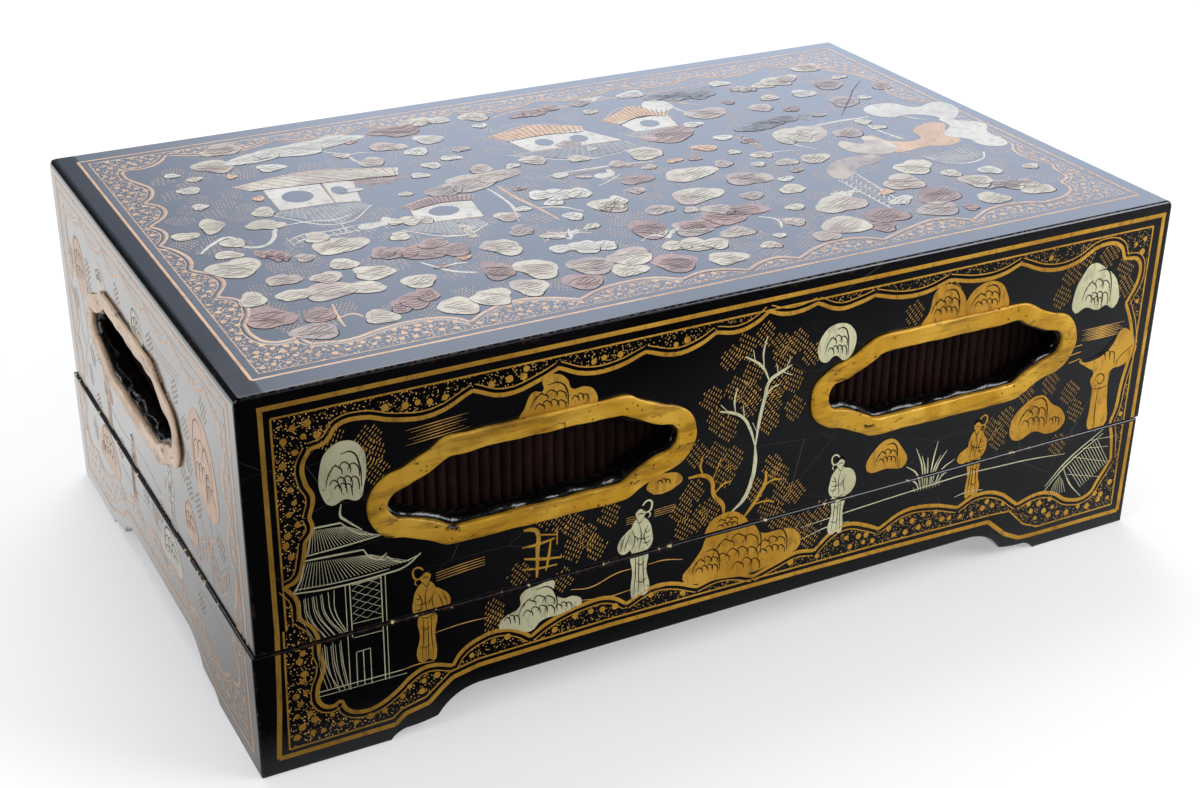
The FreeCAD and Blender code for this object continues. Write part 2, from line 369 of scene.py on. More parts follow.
cover_low = (-side_x, front_y, base_height)
cover_high = (side_x, back_y - paint_room, case_height - paint_room)
cover = new_box("cover_shell", cover_low, cover_high)
choose(cover, "FACE", lambda middle, normal: normal.z < -0.5)
bpy.ops.mesh.delete(type="FACE")
bpy.ops.object.mode_set(mode="OBJECT")
finish_with(cover, "SOLIDIFY", thickness=wall_thickness, offset=-1, use_even_offset=True)

window_outline = lozenge(116 * MM, 29 * MM, 68 * MM, 6.5 * MM, 0.6 * MM)
for window in windows.values():
    cutter = outline_curve("window_cutter", window_outline, extrude=15 * MM, fill_mode="BOTH")
    cut_away(cover, as_mesh(cutter, window))

stile_width = 15 * MM
rail_low = 138 * MM
portal = new_box("portal_cutter", (-side_x + stile_width, back_y - 2 * wall_thickness, 40 * MM),
                 (side_x - stile_width, back_y + 5 * MM, rail_low))
cut_away(cover, portal)
choose(cover, "EDGE", lambda middle, way: (
    middle.z > cover_high[2] - 0.01 * MM and abs(middle.x) > side_x - 0.01 * MM))
bpy.ops.mesh.bevel(offset=3 * MM, segments=5)
bpy.ops.object.mode_set(mode="OBJECT")
finish_with(cover, "BEVEL", width=1.3 * MM, segments=3, limit_method="ANGLE",
            angle_limit=math.radians(50), use_clamp_overlap=True)
smooth(cover)
cover.data.materials.clear()
cover.data.materials.append(black_lacquer("cover_black_lacquer", cover_low, cover_high))
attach(cover, "cover")
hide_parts("cover_top_board", "cover_front_wall", "cover_left_wall", "cover_right_wall",
            "cover_back_left_stile", "cover_back_right_stile", "cover_back_rail")

# ---------------------------------------------------------------------------
# Window edges: the sawn edge of each window is cut back by hand with a knife and
# lacquered black, so it runs round the opening as a lumpy shining lip.


def ring_along(name, outline, profile, matrix, spread, seed):
    """A ring that follows an outline with the given section, its width a little uneven."""
    dice = random.Random(seed)
    section = outline_curve(name + "_section", profile)
    uneven = []
    size = 1.0
    for across, up in outline:
        size += dice.uniform(-spread, spread)
        size += (1 - size) * 0.25
        uneven.append((across, up, size))
    ring = outline_curve(name, uneven, bevel_mode="OBJECT", bevel_object=section)
    ring = as_mesh(ring, Matrix())
    bpy.data.objects.remove(section)
    finish_with(ring, "WELD", merge_threshold=0.001 * MM)
    return ring


def roughen(piece, amount, size, limit_high, seed):
    """Moves each point a little along its normal, as tool marks do, and keeps it under the limit."""
    mesh = piece.data
    moved = []
    for vertex in mesh.vertices:
        shift = noise.noise(vertex.co / size + Vector((seed, 0, 0)))
        moved.append(vertex.co + vertex.normal * shift * amount)
    for vertex, place in zip(mesh.vertices, moved):
        place.z = min(place.z, limit_high)
        vertex.co = place
    mesh.update()


lip_finish = Finish("window_edge_lacquer", roughness=0.16, specular=0.7)
lip_lumps = lip_finish.grain(190, 3)
lip_finish.feed("Base Color", lip_finish.mix(
    lip_lumps.between(0.62, 0.75), colour("060506"), colour("2c1a12")))
lip_finish.bump(lip_finish.grain(330, 2), 0.5 * MM, 0.6)

lip_section = []
for step in range(12):
    turn = 2 * math.pi * step / 12
    lip_section.append((2.4 * MM * math.cos(turn), (-4.5 + 4.1 * math.sin(turn)) * MM))
for seed, (name, window) in enumerate(windows.items()):
    lip = ring_along(name + "_window_edge", window_outline, lip_section, window, 0.08, seed)
    finish_with(lip, "SUBSURF", levels=1, render_levels=1)
    roughen(lip, 1.5 * MM, 7 * MM, -0.2 * MM, seed)
    lip.data.transform(window)
    smooth(lip, 60)
    lip.data.materials.append(lip_finish.material)
    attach(lip, "cover")

# ---------------------------------------------------------------------------
# Window frames: raised borders round the windows, built up in gesso by hand and gilded.
# The gilding is rubbed bright on the rims and pitted, with dark size showing through.


def gilding(name, light, middle, dark, metallic, painted_left_shade=0.0):
    """Leaf over gesso: pitted and rubbed to the dark size, with painted shade darkening the left."""
    gilt = Finish(name, roughness=0.34)
    grain = gilt.grain(260, 4, roughness=0.6)
    pits = gilt.cells(330, "F1").between(0.10, 0.22)
    wash = gilt.grain(45, 4, distortion=0.8)
    brushed = gilt.grain(210, 4, gilt.stretched(0.2, 0.2, 1.0), roughness=0.6)
    ground = gilt.mix(wash.between(0.38, 0.6), colour(middle), colour(light))
    ground = gilt.mix(brushed.between(0.48, 0.7) * 0.85, ground, colour(dark))
    bare = ((1 - pits) * gilt.grain(70, 2).between(0.48, 0.6)).higher(
        gilt.grain(150, 5, gilt.stretched(0.45, 0.45, 1.0), 1.5, 0.7).between(0.6, 0.66))
    # painted shade: the gilding darkens towards the case's left, where less light falls
    ground = gilt.mix(gilt.left_part() * painted_left_shade, ground, colour("140c04"))
    gilt.feed("Base Color", gilt.mix(bare, ground, colour("2a1706")))
    gilt.feed("Metallic", metallic)
    gilt.feed("Roughness", grain * 0.3 + 0.22)
    gilt.bump(grain + pits * 0.6, 0.35 * MM, 0.6)
    return gilt.material


# The front's frames carry painted shade towards the left. The ends' gilding is painted paler
# than the front's: painted sheen from the glancing reflection on the ends.
front_gilding = gilding("front_frame_gilding", "f6c040", "dca21e", "8e600c", 0.2, 0.35)
sheen_pale_end_gilding = gilding("end_frame_gilding", "e8cbae", "d6b89c", "b8967a", 0.1)

frame_section = [(-3.8, -0.3), (-3.95, 0.7), (-3.7, 1.4), (-2.4, 1.62), (0.2, 1.66), (2.4, 1.6),
                 (3.7, 1.38), (3.95, 0.6), (3.9, -0.6), (3.2, -1.2), (0, -0.6)]
frame_section = [(across * MM, up * MM) for across, up in frame_section]
frame_outline = lozenge(123.5 * MM, 36.5 * MM, 70.5 * MM, 10 * MM, 0.5 * MM)
for seed, (name, window) in enumerate(windows.items()):
    border = ring_along(name + "_gilt_frame", frame_outline, frame_section, window, 0.035, 20 + seed)
    finish_with(border, "SUBSURF", levels=1, render_levels=1)
    roughen(border, 0.55 * MM, 9 * MM, 1.92 * MM, 40 + seed)
    border.data.transform(window)
    smooth(border, 60)
    border.data.materials.append(front_gilding if name.startswith("front") else sheen_pale_end_gilding)
    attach(border, "cover")
    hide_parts(name + "_window_frame")

# ---------------------------------------------------------------------------
# Base: a tray of four boards on bracket feet. The feet and the long low aprons between
# them are sawn from the walls themselves, and it is lacquered as the cover is.

base_x = -1.2 * MM
foot_steps = [(50, 0), (56, 3.5), (69, 5), (86, 14.5)]
foot_bows = [0.6, -0.4, 2.4]


def foot_profile():
    """The foot's lower edge from its toe to the apron, measured from the outer corner."""
    points = [foot_steps[0]]
    for start, end, bow in zip(foot_steps, foot_steps[1:], foot_bows):
        run = Vector(end) - Vector(start)
        across = Vector((-run.y, run.x)).normalized()
        for step in range(1, 9):
            part = step / 8
            points.append(tuple(Vector(start) + run * part + across * (4 * bow * part * (1 - part))))
    return [(along * MM, up * MM) for along, up in points]


def apron_outline(length):
    """What is sawn from under a wall between its feet, centred on the wall."""
    left = [(along - length / 2, up) for along, up in foot_profile()]
    right = [(-along, up) for along, up in reversed(left)]
    return [(left[0][0], -5 * MM)] + left + right + [(right[-1][0], -5 * MM)]


base_low = (base_x - side_x, front_y, 0)
base_high = (base_x + side_x, back_y - paint_room, base_height)
base = new_box("base_tray", base_low, base_high)
choose(base, "FACE", lambda middle, normal: abs(normal.z) > 0.5)
bpy.ops.mesh.delete(type="FACE")
bpy.ops.object.mode_set(mode="OBJECT")
finish_with(base, "SOLIDIFY", thickness=wall_thickness, offset=-1, use_even_offset=True)
for length, right in ((case_length, (1, 0, 0)), (case_width, (0, 1, 0))):
    cutter = outline_curve("apron_cutter", apron_outline(length), extrude=250 * MM,
                           fill_mode="BOTH")
    cut_away(base, as_mesh(cutter, facing(right, (0, 0, 1), (base_x, case_middle_y, 0))))
finish_with(base, "BEVEL", width=0.8 * MM, segments=3, limit_method="ANGLE",
            angle_limit=math.radians(50), use_clamp_overlap=True)
smooth(base)
base.data.materials.append(black_lacquer("base_black_lacquer", base_low, base_high, 1.15))
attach(base, "base")
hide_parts("base_front_wall", "base_back_wall", "base_left_wall", "base_right_wall")

# The floor board, the ledges under the chest and the glue blocks are bare softwood inside,
# sawn and planed, and browned with age.


def aged_wood(name, light, dark, along=(0.06, 1.0, 1.0)):
    """Planed wood with long grain, its rings drawn out along one axis."""
    finish = Finish(name, roughness=0.62, specular=0.3)
    place = finish.stretched(*along)
    bands = finish.grain(46, 4, place, distortion=0.8)
    fibre = finish.grain(420, 3, place, roughness=0.7)
    spots = finish.grain(16, 3)
    ground = finish.mix(bands.between(0.35, 0.65), colour(light), colour(dark))
    ground = finish.mix(fibre.between(0.5, 0.7) * 0.4, ground, colour(dark))
    ground = finish.mix(spots.between(0.55, 0.75) * 0.35, ground, colour("2b1c10"))
    finish.feed("Base Color", ground)
    finish.bump(fibre * 0.7 + bands * 0.5, 0.12 * MM, 0.6)
    return finish.material


def dress(material, *names):
    """Gives CAD nodes their finish."""
    for name in names:
        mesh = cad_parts[name].data
        mesh.materials.clear()
        mesh.materials.append(material)


dress(aged_wood("inner_softwood", "a98457", "7d5a36"),
      "base_floor_board", "base_chest_ledges", "base_corner_blocks")

# ---------------------------------------------------------------------------
# Chest: a carcase of thin boards. Its front and ends are reeded with a scratch plane and
# lacquered dark red over black, worn to black on the crests; the boards inside are black.

reeds = Finish("reeded_red_lacquer", roughness=0.5, specular=0.2)
reed_streaks = reeds.grain(300, 4, reeds.stretched(1.0, 1.0, 0.22), roughness=0.65)
reed_clouds = reeds.grain(45, 3)
reed_ground = reeds.mix(reed_streaks.between(0.35, 0.7), colour("1c0c0b"), colour("331713"))
reed_ground = reeds.mix(reed_clouds.between(0.5, 0.7) * 0.5, reed_ground, colour("0e0706"))
reeds.feed("Base Color", reed_ground)
reeds.feed("Roughness", reed_streaks * 0.3 + 0.4)
reeds.bump(reed_streaks, 0.15 * MM, 0.5)
dress(reeds.material, "chest_front_panel", "chest_left_panel", "chest_right_panel")

carcase = Finish("carcase_black_lacquer", roughness=0.38, specular=0.4)
carcase_grain = carcase.grain(200, 4, carcase.stretched(0.12, 1.0, 1.0), roughness=0.6)
carcase.feed("Base Color", carcase.mix(
    carcase_grain.between(0.45, 0.7), colour("0d0b0b"), colour("21150f")))
carcase.feed("Roughness", carcase_grain * 0.3 + 0.25)
carcase.bump(carcase_grain, 0.08 * MM, 0.5)
dress(carcase.material, "chest_bottom_board", "chest_top_board", "chest_partition",
      "dust_boards_level_1", "dust_boards_level_2")

# ---------------------------------------------------------------------------
# Drawers: black lacquered fronts on pale softwood sides and bottoms, each with a brass ring
# held by an eye and a round plate.

drawer_black = Finish("drawer_front_lacquer", roughness=0.2, specular=0.4)
drawer_cloud = drawer_black.grain(30, 4)
drawer_grain = drawer_black.grain(160, 4, drawer_black.stretched(0.1, 1.0, 1.0), roughness=0.6)
drawer_black.feed("Base Color", drawer_black.mix(
    drawer_cloud.between(0.45, 0.7), colour("0a090a"), colour("171313")))
drawer_black.feed("Roughness", drawer_cloud * 0.2 + drawer_grain * 0.15 + 0.06)
drawer_black.bump(drawer_grain, 0.06 * MM, 0.5)

drawer_wood = aged_wood("drawer_softwood", "c19f6f", "9a744a", (1.0, 0.06, 1.0))

brass = Finish("aged_brass", roughness=0.3)
brass_tarnish = brass.grain(180, 4)
brass_spots = brass.grain(900, 2)
brass_ground = brass.mix(brass_tarnish.between(0.4, 0.7), colour("c9a04c"), colour("7c5a25"))
brass.feed("Base Color", brass.mix(
    brass_spots.between(0.66, 0.75), brass_ground, colour("4a3616")))
brass.feed("Metallic", 0.9)
brass.feed("Roughness", brass_tarnish * 0.4 + 0.12)
brass.bump(brass_spots, 0.05 * MM, 0.4)

for number in range(1, 7):
    drawer = f"drawer_{number}"
    dress(drawer_black.material, drawer + "_front")
    dress(drawer_wood, drawer + "_sides", drawer + "_bottom")
    dress(brass.material, drawer + "_pull_plate", drawer + "_ring")

# ---------------------------------------------------------------------------
# Front painting: gold and silver powder laid on wet varnish by brush, with black lines
# drawn over it. It crosses the seam, so it was painted with the cover standing on the base.

seam_top = 53.0  # the painting is broken here, in millimetres above the ground
seam_bottom = 51.0
sunk = -0.04  # how deep paint goes into the lacquer, in millimetres
brush_ridge = 0.035  # how far a brush line's crest stands over its paint's level
steps_apart = 0.002  # bodies of one paint that overlap lie this much over one another


class Painting:
    """What is painted on one wall, in millimetres from the wall's corner, paint by paint."""

    def __init__(self, name, mirror=False, windows=(), ink="ink"):
        self.name = name
        self.ink = ink
        self.way = -1 if mirror else 1
        self.windows = [[(across + x / MM, up + y / MM) for x, y in frame_outline]
                        for across, up in windows]
        self.fills = {}
        self.strokes = {}

    def fill(self, paint, points, sharp=False):
        """A closed body of paint, round through its points, or straight between them."""
        self.fills.setdefault(paint, []).append((1, points, 1, sharp))

    def stroke(self, paint, width, points, taper=0.4):
        """A brush line, left out where it would run into a window."""
        if not any(inside(point, window) for window in self.windows for point in points):
            self.strokes.setdefault(paint, []).append((width, points, taper, len(points) == 2))

    def strokes_in(self, paint, lines, taper=0.4):
        """Brush lines of one paint, each given by its width and its points."""
        for width, points in lines:
            self.stroke(paint, width, points, taper)

    def ruled(self, paint, width, corners):
        """Straight lines from corner to corner, with square ends."""
        for start, end in zip(corners, corners[1:]):
            self.stroke(paint, width, [start, end], 1)

    def drawn(self, name, lines, closed):
        """A curve object with one spline for each line: smooth, or straight between two points."""
        bpy.ops.object.select_all(action="DESELECT")
        bpy.ops.object.add(type="CURVE")
        drawing = bpy.context.object
        drawing.name = name
        data = drawing.data
        data.dimensions = "3D"
        data.twist_mode = "Z_UP"
        data.resolution_u = 4
        if not closed:
            data.bevel_depth = 1
            data.bevel_resolution = 0
            data.use_fill_caps = True
        for width, points, taper, straight in lines:
            last = len(points) - 1
            spline = data.splines.new("POLY" if straight else "BEZIER")
            knots = spline.points if straight else spline.bezier_points
            knots.add(last)
            for index, (knot, (across, up)) in enumerate(zip(knots, points)):
                place = (across * self.way, up, 0)
                knot.co = (*place, 1) if straight else place
                knot.radius = width / 2 * (taper if index in (0, last) else 1)
                if not straight:
                    knot.handle_left_type = "AUTO"
                    knot.handle_right_type = "AUTO"
            spline.use_cyclic_u = closed
        show_only(drawing)
        bpy.ops.object.convert(target="MESH")
        bpy.ops.object.shade_flat()
        return drawing

    def layer(self, paint):
        """One paint's fills and strokes as a single mesh in the flat drawing."""
        level = paint_levels[paint]
        parts = []
        if paint in self.fills:
            area = self.drawn(f"{self.name}_{paint}_area", self.fills[paint], True)
            bpy.ops.object.mode_set(mode="EDIT")
            bpy.ops.mesh.select_all(action="SELECT")
            bpy.ops.mesh.edge_face_add()
            bpy.ops.mesh.extrude_region_move(TRANSFORM_OT_translate={"value": (0, 0, 1)})
            bpy.ops.mesh.select_all(action="SELECT")
            bpy.ops.mesh.normals_make_consistent(inside=False)
            bpy.ops.object.mode_set(mode="OBJECT")
            tops = [face for face in area.data.polygons if face.center.z > 0.9]
            for count, face in enumerate(tops):
                for index in face.vertices:
                    area.data.vertices[index].co.z = level + count % 18 * steps_apart
            for vertex in area.data.vertices:
                if vertex.co.z == 0:
                    vertex.co.z = sunk
            parts.append(area)
        if paint in self.strokes:
            lines = self.drawn(f"{self.name}_{paint}_lines", self.strokes[paint], False)
            for vertex in lines.data.vertices:
                height = vertex.co.z
                if height > 0.001:
                    vertex.co.z = level + brush_ridge
                elif height < -0.001:
                    vertex.co.z = sunk
                else:
                    vertex.co.z = level - 0.02
            parts.append(lines)
        show_only(parts[0])
        if len(parts) > 1:
            parts[1].select_set(True)
            bpy.ops.object.join()
        piece = bpy.context.object
        piece.name = f"{self.name}_{paint}"
        piece.data.materials.clear()
        return piece

    def dry(self, boards):
        """Makes the painting's pieces; each board is (body, matrix, lowest, highest level)."""
        for paint in dict.fromkeys([*self.fills, *self.strokes]):
            flat = self.layer(paint)
            for body, matrix, low, high in boards:
                show_only(flat)
                bpy.ops.object.duplicate()
                piece = bpy.context.object
                piece.name = f"{self.name}_{body}_{paint}"
                for level, upward in ((low, -1), (high, 1)):
                    if level is None:
                        continue
                    bpy.ops.object.mode_set(mode="EDIT")
                    bpy.ops.mesh.select_all(action="SELECT")
                    bpy.ops.mesh.bisect(plane_co=(0, level, 0), plane_no=(0, upward, 0),
                                        clear_outer=True)
                    bpy.ops.object.mode_set(mode="OBJECT")
                piece.data.transform(matrix @ Matrix.Scale(MM, 4))
                if not piece.data.polygons:
                    bpy.data.objects.remove(piece)
                    continue
                piece.data.materials.append(paints[paint])
                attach(piece, body)
            bpy.data.objects.remove(flat)


# How high each paint lies over the lacquer, in millimetres.
paint_levels = {
    "speckle": 0.02, "gap": 0.04, "dull_gold": 0.0445, "gold": 0.055, "silver": 0.0595, "ink": 0.10}


def powder_paint(name, light, middle, dark, metallic, roughness, varnish=0.5, blush=None,
                 painted_left_shade=0.0):
    """Metal powder in varnish: brushed streaks, thin places, dark flecks, and painted shade on the left."""
    finish = Finish(name, roughness=roughness)
    finish.varnish(varnish)
    streaks = finish.grain(330, 4, finish.stretched(1.0, 1.0, 0.35, turn=(0.2, 0.5, 0.3)), 0.6)
    wash = finish.grain(42, 3)
    flecks = finish.grain(1100, 2).between(0.66, 0.74)
    ground = finish.mix(wash.between(0.35, 0.65), colour(middle), colour(light))
    ground = finish.mix(streaks.between(0.52, 0.75) * 0.75, ground, colour(dark))
    if blush:
        ground = finish.mix(finish.grain(75, 1).between(0.48, 0.66) * 0.75, ground, colour(blush))
    ground = finish.mix(flecks * 0.7, ground, colour("1b1108"))
    # painted shade: the paint darkens towards the case's left, where less light falls
    ground = finish.mix(finish.left_part() * painted_left_shade, ground, colour("0a0805"))
    finish.feed("Base Color", ground)
    finish.feed("Metallic", metallic)
    finish.feed("Roughness", streaks * 0.25 + (roughness - 0.1))
    finish.bump(streaks, 0.05 * MM, 0.5)
    return finish.material


def speckled_band(name, light, dark, size, reach, twist=0.6):
    """Black ground with small gold specks, finer at a greater size and drawn out by the twist."""
    finish = Finish(name, roughness=0.2)
    finish.shader.inputs["Specular Tint"].default_value = varnish_tint
    finish.varnish(0.8)
    drift = finish.grain(500, 2)
    place = finish.node("ShaderNodeVectorMath", {"operation": "ADD"}, {
        0: finish.place, 1: finish.node("ShaderNodeVectorMath", {"operation": "SCALE"}, {
            0: finish.node("ShaderNodeTexNoise", {}, {
                "Vector": finish.place, "Scale": 700.0, "Detail": 1.0}, 1),
            "Scale": twist / size})})
    speck = 1 - finish.cells(size, "F1", place).between(reach, reach + 0.12)
    gold = finish.mix(drift.between(0.4, 0.65), colour(light), colour(dark))
    finish.feed("Base Color", finish.mix(speck, colour("060607"), gold))
    finish.feed("Roughness", 0.2 + speck * 0.25)
    finish.bump(speck, 0.03 * MM, 0.6)
    return finish.material


def dark_line(name, dark, light, gloss):
    """Thin black lacquer: dull where it was drawn with a fine brush, glossy where it was flooded."""
    finish = Finish(name, roughness=0.45 - gloss * 0.3, specular=0.15 + gloss * 0.35)
    finish.shader.inputs["Specular Tint"].default_value = varnish_tint
    finish.varnish(0.8 * gloss)
    thin = finish.grain(300, 3)
    finish.feed("Base Color", finish.mix(thin.between(0.5, 0.75), colour(dark), colour(light)))
    return finish.material


paints = {
    # The front's gold, dull gold and silver are darkened to the left by painted shade.
    "gold": powder_paint("front_gold", "f2b840", "d69a26", "94640e", 0.3, 0.42, 0.3, painted_left_shade=0.55),
    "dull_gold": powder_paint("front_dull_gold", "f2bc56", "dca448", "a87832", 0.1, 0.5, 0.2,
                              painted_left_shade=0.5),
    "silver": powder_paint("front_silver", "ebe7be", "d8d4a9", "a09c78", 0.1, 0.5, painted_left_shade=0.5),
    "ink": dark_line("black_line_lacquer", "0b0a0a", "241a10", 0),
    "gap": dark_line("black_gap_lacquer", "050506", "0d0c0e", 1),
    "speckle": speckled_band("front_speckle", "e8b458", "b4863a", 1050, 0.2, 0.25),
}


def shifted(points, distance):
    """The line through these points, moved sideways to the left of its way."""
    moved = []
    for index, point in enumerate(points):
        before = Vector(points[max(index - 1, 0)])
        after = Vector(points[min(index + 1, len(points) - 1)])
        way = (after - before).normalized()
        moved.append((point[0] - way.y * distance, point[1] + way.x * distance))
    return moved


def inside(point, outline):
    """Whether a point lies inside a closed outline."""
    within = False
    x, y = point
    for (x1, y1), (x2, y2) in zip(outline, outline[1:] + outline[:1]):
        if (y1 > y) != (y2 > y) and x < (x2 - x1) * (y - y1) / (y2 - y1) + x1:
            within = not within
    return within


def clearance(point, outline):
    """Distance from a point to the nearest side of an outline."""
    point = Vector(point)
    nearest = 1e9
    for start, end in zip(outline, outline[1:] + outline[:1]):
        start = Vector(start)
        run = Vector(end) - start
        part = max(0, min(1, (point - start).dot(run) / max(run.length_squared, 1e-9)))
        nearest = min(nearest, (start + run * part - point).length)
    return nearest


def part_way(points, part):
    """The point that lies the given part of the way along a line, its legs counting alike."""
    legs = len(points) - 1
    leg = min(int(part * legs), legs - 1)
    return Vector(points[leg]).lerp(Vector(points[leg + 1]), part * legs - leg)


def lobed(*lobes):
    """A scalloped line's lobes, each of which runs on to the first point of the next."""
    return [lobe + [after[0]] for lobe, after in zip(lobes, lobes[1:])]


def scallops(painting, paint, lobes, side, thick=1.8, thin=0.5, gap=2.4):
    """A scalloped line, lobe by lobe: thick, then a black gap, then thin towards the border."""
    for lobe in lobes:
        painting.stroke(paint, thick, lobe, 0.8)
        painting.stroke("gap", gap - 0.7, shifted(lobe, side * gap * 0.55), 0.9)
        painting.stroke(paint, thin, shifted(lobe, side * gap), 0.8)


def sprinkle(painting, paint, outline, hole, size, pitch, margin, seed, scatter=0.9):
    """Round dots in staggered rows, wherever there is room inside a band."""
    dice = random.Random(seed)
    xs = [x for x, _ in outline]
    ys = [y for _, y in outline]
    row = 0
    y = min(ys)
    while y < max(ys):
        x = min(xs) + (pitch / 2 if row % 2 else 0)
        while x < max(xs):
            spot = (x + dice.uniform(-scatter, scatter), y + dice.uniform(-scatter, scatter))
            free = inside(spot, outline) and clearance(spot, outline) > margin
            if free and hole:
                free = not inside(spot, hole) and clearance(spot, hole) > margin
            if free:
                radius = size / 2 * dice.uniform(0.75, 1.1)
                painting.fill(paint, [
                    (spot[0] + radius * math.cos(turn * math.pi / 3),
                     spot[1] + radius * math.sin(turn * math.pi / 3)) for turn in range(6)])
            x += pitch
        y += pitch * 0.8
        row += 1


def hatch(painting, paint, across, up, seed, wide=4.6, high=4.2, pitch=1.35, width=0.42, swing=0.2):
    """A small cloud of short slanting dashes in rows, as pine needles and bamboo are drawn."""
    dice = random.Random(seed)
    turn = 1.0 + dice.uniform(-swing, swing)
    along = Vector((math.cos(turn), math.sin(turn)))
    beside = Vector((math.cos(turn - 1.75), math.sin(turn - 1.75)))
    rows = int(wide / pitch)
    columns = round(high / pitch / 1.6)
    for row in range(-rows, rows + 1):
        for column in range(-columns, columns + 1):
            reach = math.hypot(row / (rows + 0.5), column / (columns + 0.5))
            if reach > dice.uniform(0.85, 1.25):
                continue
            spot = Vector((across, up)) + beside * row * pitch + along * column * pitch * 1.45
            half = along * pitch * dice.uniform(0.34, 0.5)
            painting.stroke(paint, width * dice.uniform(0.8, 1.2),
                            [tuple(spot - half), tuple(spot + half)], 0.7)


def arches(painting, across, up, wide, high, count, lean=0.0):
    """Rows of overlapping black hooks with long falling ends, as rocks and clouds are lined."""
    width = 0.5
    rows = (count + 1) // 2
    for row in range(rows):
        number = rows + 2 - row
        pitch = 2 * wide / (number + 0.6)
        tall = high / rows
        rise = min(tall, pitch * 1.3)
        middle = across + lean * high * row / rows
        for place in range(number):
            start = middle + (place - number / 2) * pitch
            share = place / (number - 1)
            crest = up + tall * (row + 1) + rise * 0.35 * (math.sin(math.pi * (share * 0.8 + 0.15)) - 1)
            foot = crest - tall * (0.7 + 0.3 * share)
            painting.stroke(painting.ink, width, [
                (start - pitch * 0.05, crest - rise * 0.55), (start + pitch * 0.45, crest),
                (start + pitch * 1.0, crest - rise * 0.22), (start + pitch * 1.26, (crest + foot) / 2),
                (start + pitch * 1.3, foot)], 0.6)
    if high > 6:
        painting.stroke(painting.ink, width, [
            (across - wide * 1.15, up + high * 0.25), (across - wide * 0.9, up + high * 0.7),
            (across - wide * 0.4, up + high * 1.0)], 0.5)
        painting.stroke(painting.ink, width * 1.2, [
            (across - wide * 0.1, up + high * 1.3), (across + wide * 0.6, up + high * 1.3),
            (across + wide * 1.05, up + high * 0.85), (across + wide * 1.15, up)], 0.5)


window_places = [((side_x - base_x + side * window_spread / 2) / MM, window_level / MM)
                 for side in (-1, 1)]
front = Painting("front", windows=window_places)

# Border of the cover's front: an outer and an inner gold line and a scalloped, speckled band.
cover_scallops = lobed(
    [(24.4, 45.8), (23.5, 56.6)], [(17.9, 63.5), (17.6, 71.2)], [(13.6, 77.5), (18.2, 79.5),
    (20.8, 86.3)], [(22, 93.4), (24.9, 97.6)], [(24.1, 102.7), (25.7, 110.4), (23.5, 115.8),
    (22.8, 123.1)], [(25.7, 128.7), (31.6, 130.3), (35.6, 135.3), (44.5, 136.3), (56.2, 132.7),
    (70.6, 131.3)], [(85.5, 137.1), (97.2, 132.8), (111.9, 135.7)], [(118.6, 138.5), (129.2, 134),
    (141.9, 133.8)], [(153.7, 137.2), (165.9, 133.6), (176, 135.2)], [(183.1, 138.6), (192.5, 137.1),
    (200.7, 139.3)], [(205.7, 142.6), (212.3, 140.2), (220.9, 140)], [(227.4, 141.5), (237.5, 137.2),
    (246.8, 138)], [(253.7, 139.5), (266, 136.3), (278.1, 136.1)], [(288.8, 138.9), (304, 135.9),
    (315.2, 136.4)], [(323.9, 139.2), (338.9, 133.6), (352, 133.9), (365.6, 139.5), (375.6, 137.3)],
    [(378.7, 131.1), (386.6, 129), (388.2, 120.7)], [(383.2, 110.1), (387.8, 99.7)], [(390.5, 89),
    (389.5, 82.3), (387.4, 70.9), (386.5, 60.1)], [(384.4, 53.6), (386.5, 46)], [(388.1, 34.6)])
base_scallops = lobed(
    [(24.4, 46.8), (25.6, 41), (22.7, 31.2), (23.6, 25.5), (27.7, 22.9)], [(31.4, 24.4), (33.6, 19.5),
    (39, 16.9), (45.2, 17.4), (52.9, 21.5), (59.4, 26.5), (65.7, 28.4)], [(75.2, 25.7), (78.5, 30.3),
    (86.2, 34.3), (94.6, 35.2), (102.5, 32.2)], [(107, 28.6), (114.7, 32.8), (130, 36.4), (140.4, 36)],
    [(147.9, 31.1), (158.4, 35.1), (167, 34.6)], [(179.1, 29.6), (186.8, 31.3), (194.6, 30.8)],
    [(205, 27), (217.2, 30.5), (225.2, 32.4)], [(233.8, 31), (242.1, 37.4), (249.4, 39), (258.5, 36)],
    [(265.1, 32.6), (277.3, 37.6), (291.7, 36.5)], [(305.4, 32), (314.2, 35.4), (326, 33.6)],
    [(337.6, 25), (348.1, 27.2), (356.7, 25.6), (366.2, 19.7), (377.7, 19.3), (382.4, 25.8)],
    [(388.1, 34.6)])
cover_edge = [(13.1, 40), (13.1, 143), (392, 143), (392, 40)]
base_edge = [(392, 60), (392.5, 10.5), (350.5, 10.5), (342.5, 14), (334, 22.6), (323.5, 23.4),
             (272.9, 24.8), (237, 25.3), (140.6, 26.4), (85.5, 25.4), (74, 23.2), (64, 15.2),
             (54.5, 13), (50.6, 10), (11, 9.6), (12, 60)]


def rounded(lobes):
    """The lobes' own smooth line as many short steps, so that a band can follow it."""
    steps = 3
    points = []
    for lobe in lobes:
        spots = [lobe[0]] + lobe + [lobe[-1]]
        for a, b, c, d in zip(spots, spots[1:], spots[2:], spots[3:]):
            for step in range(steps):
                t = step / steps
                points.append(tuple(0.5 * (
                    2 * b[i] + (c[i] - a[i]) * t + (2 * a[i] - 5 * b[i] + 4 * c[i] - d[i]) * t * t
                    + (3 * b[i] - a[i] - 3 * c[i] + d[i]) * t ** 3) for i in range(2)))
    return points + [lobes[-1][-1]]


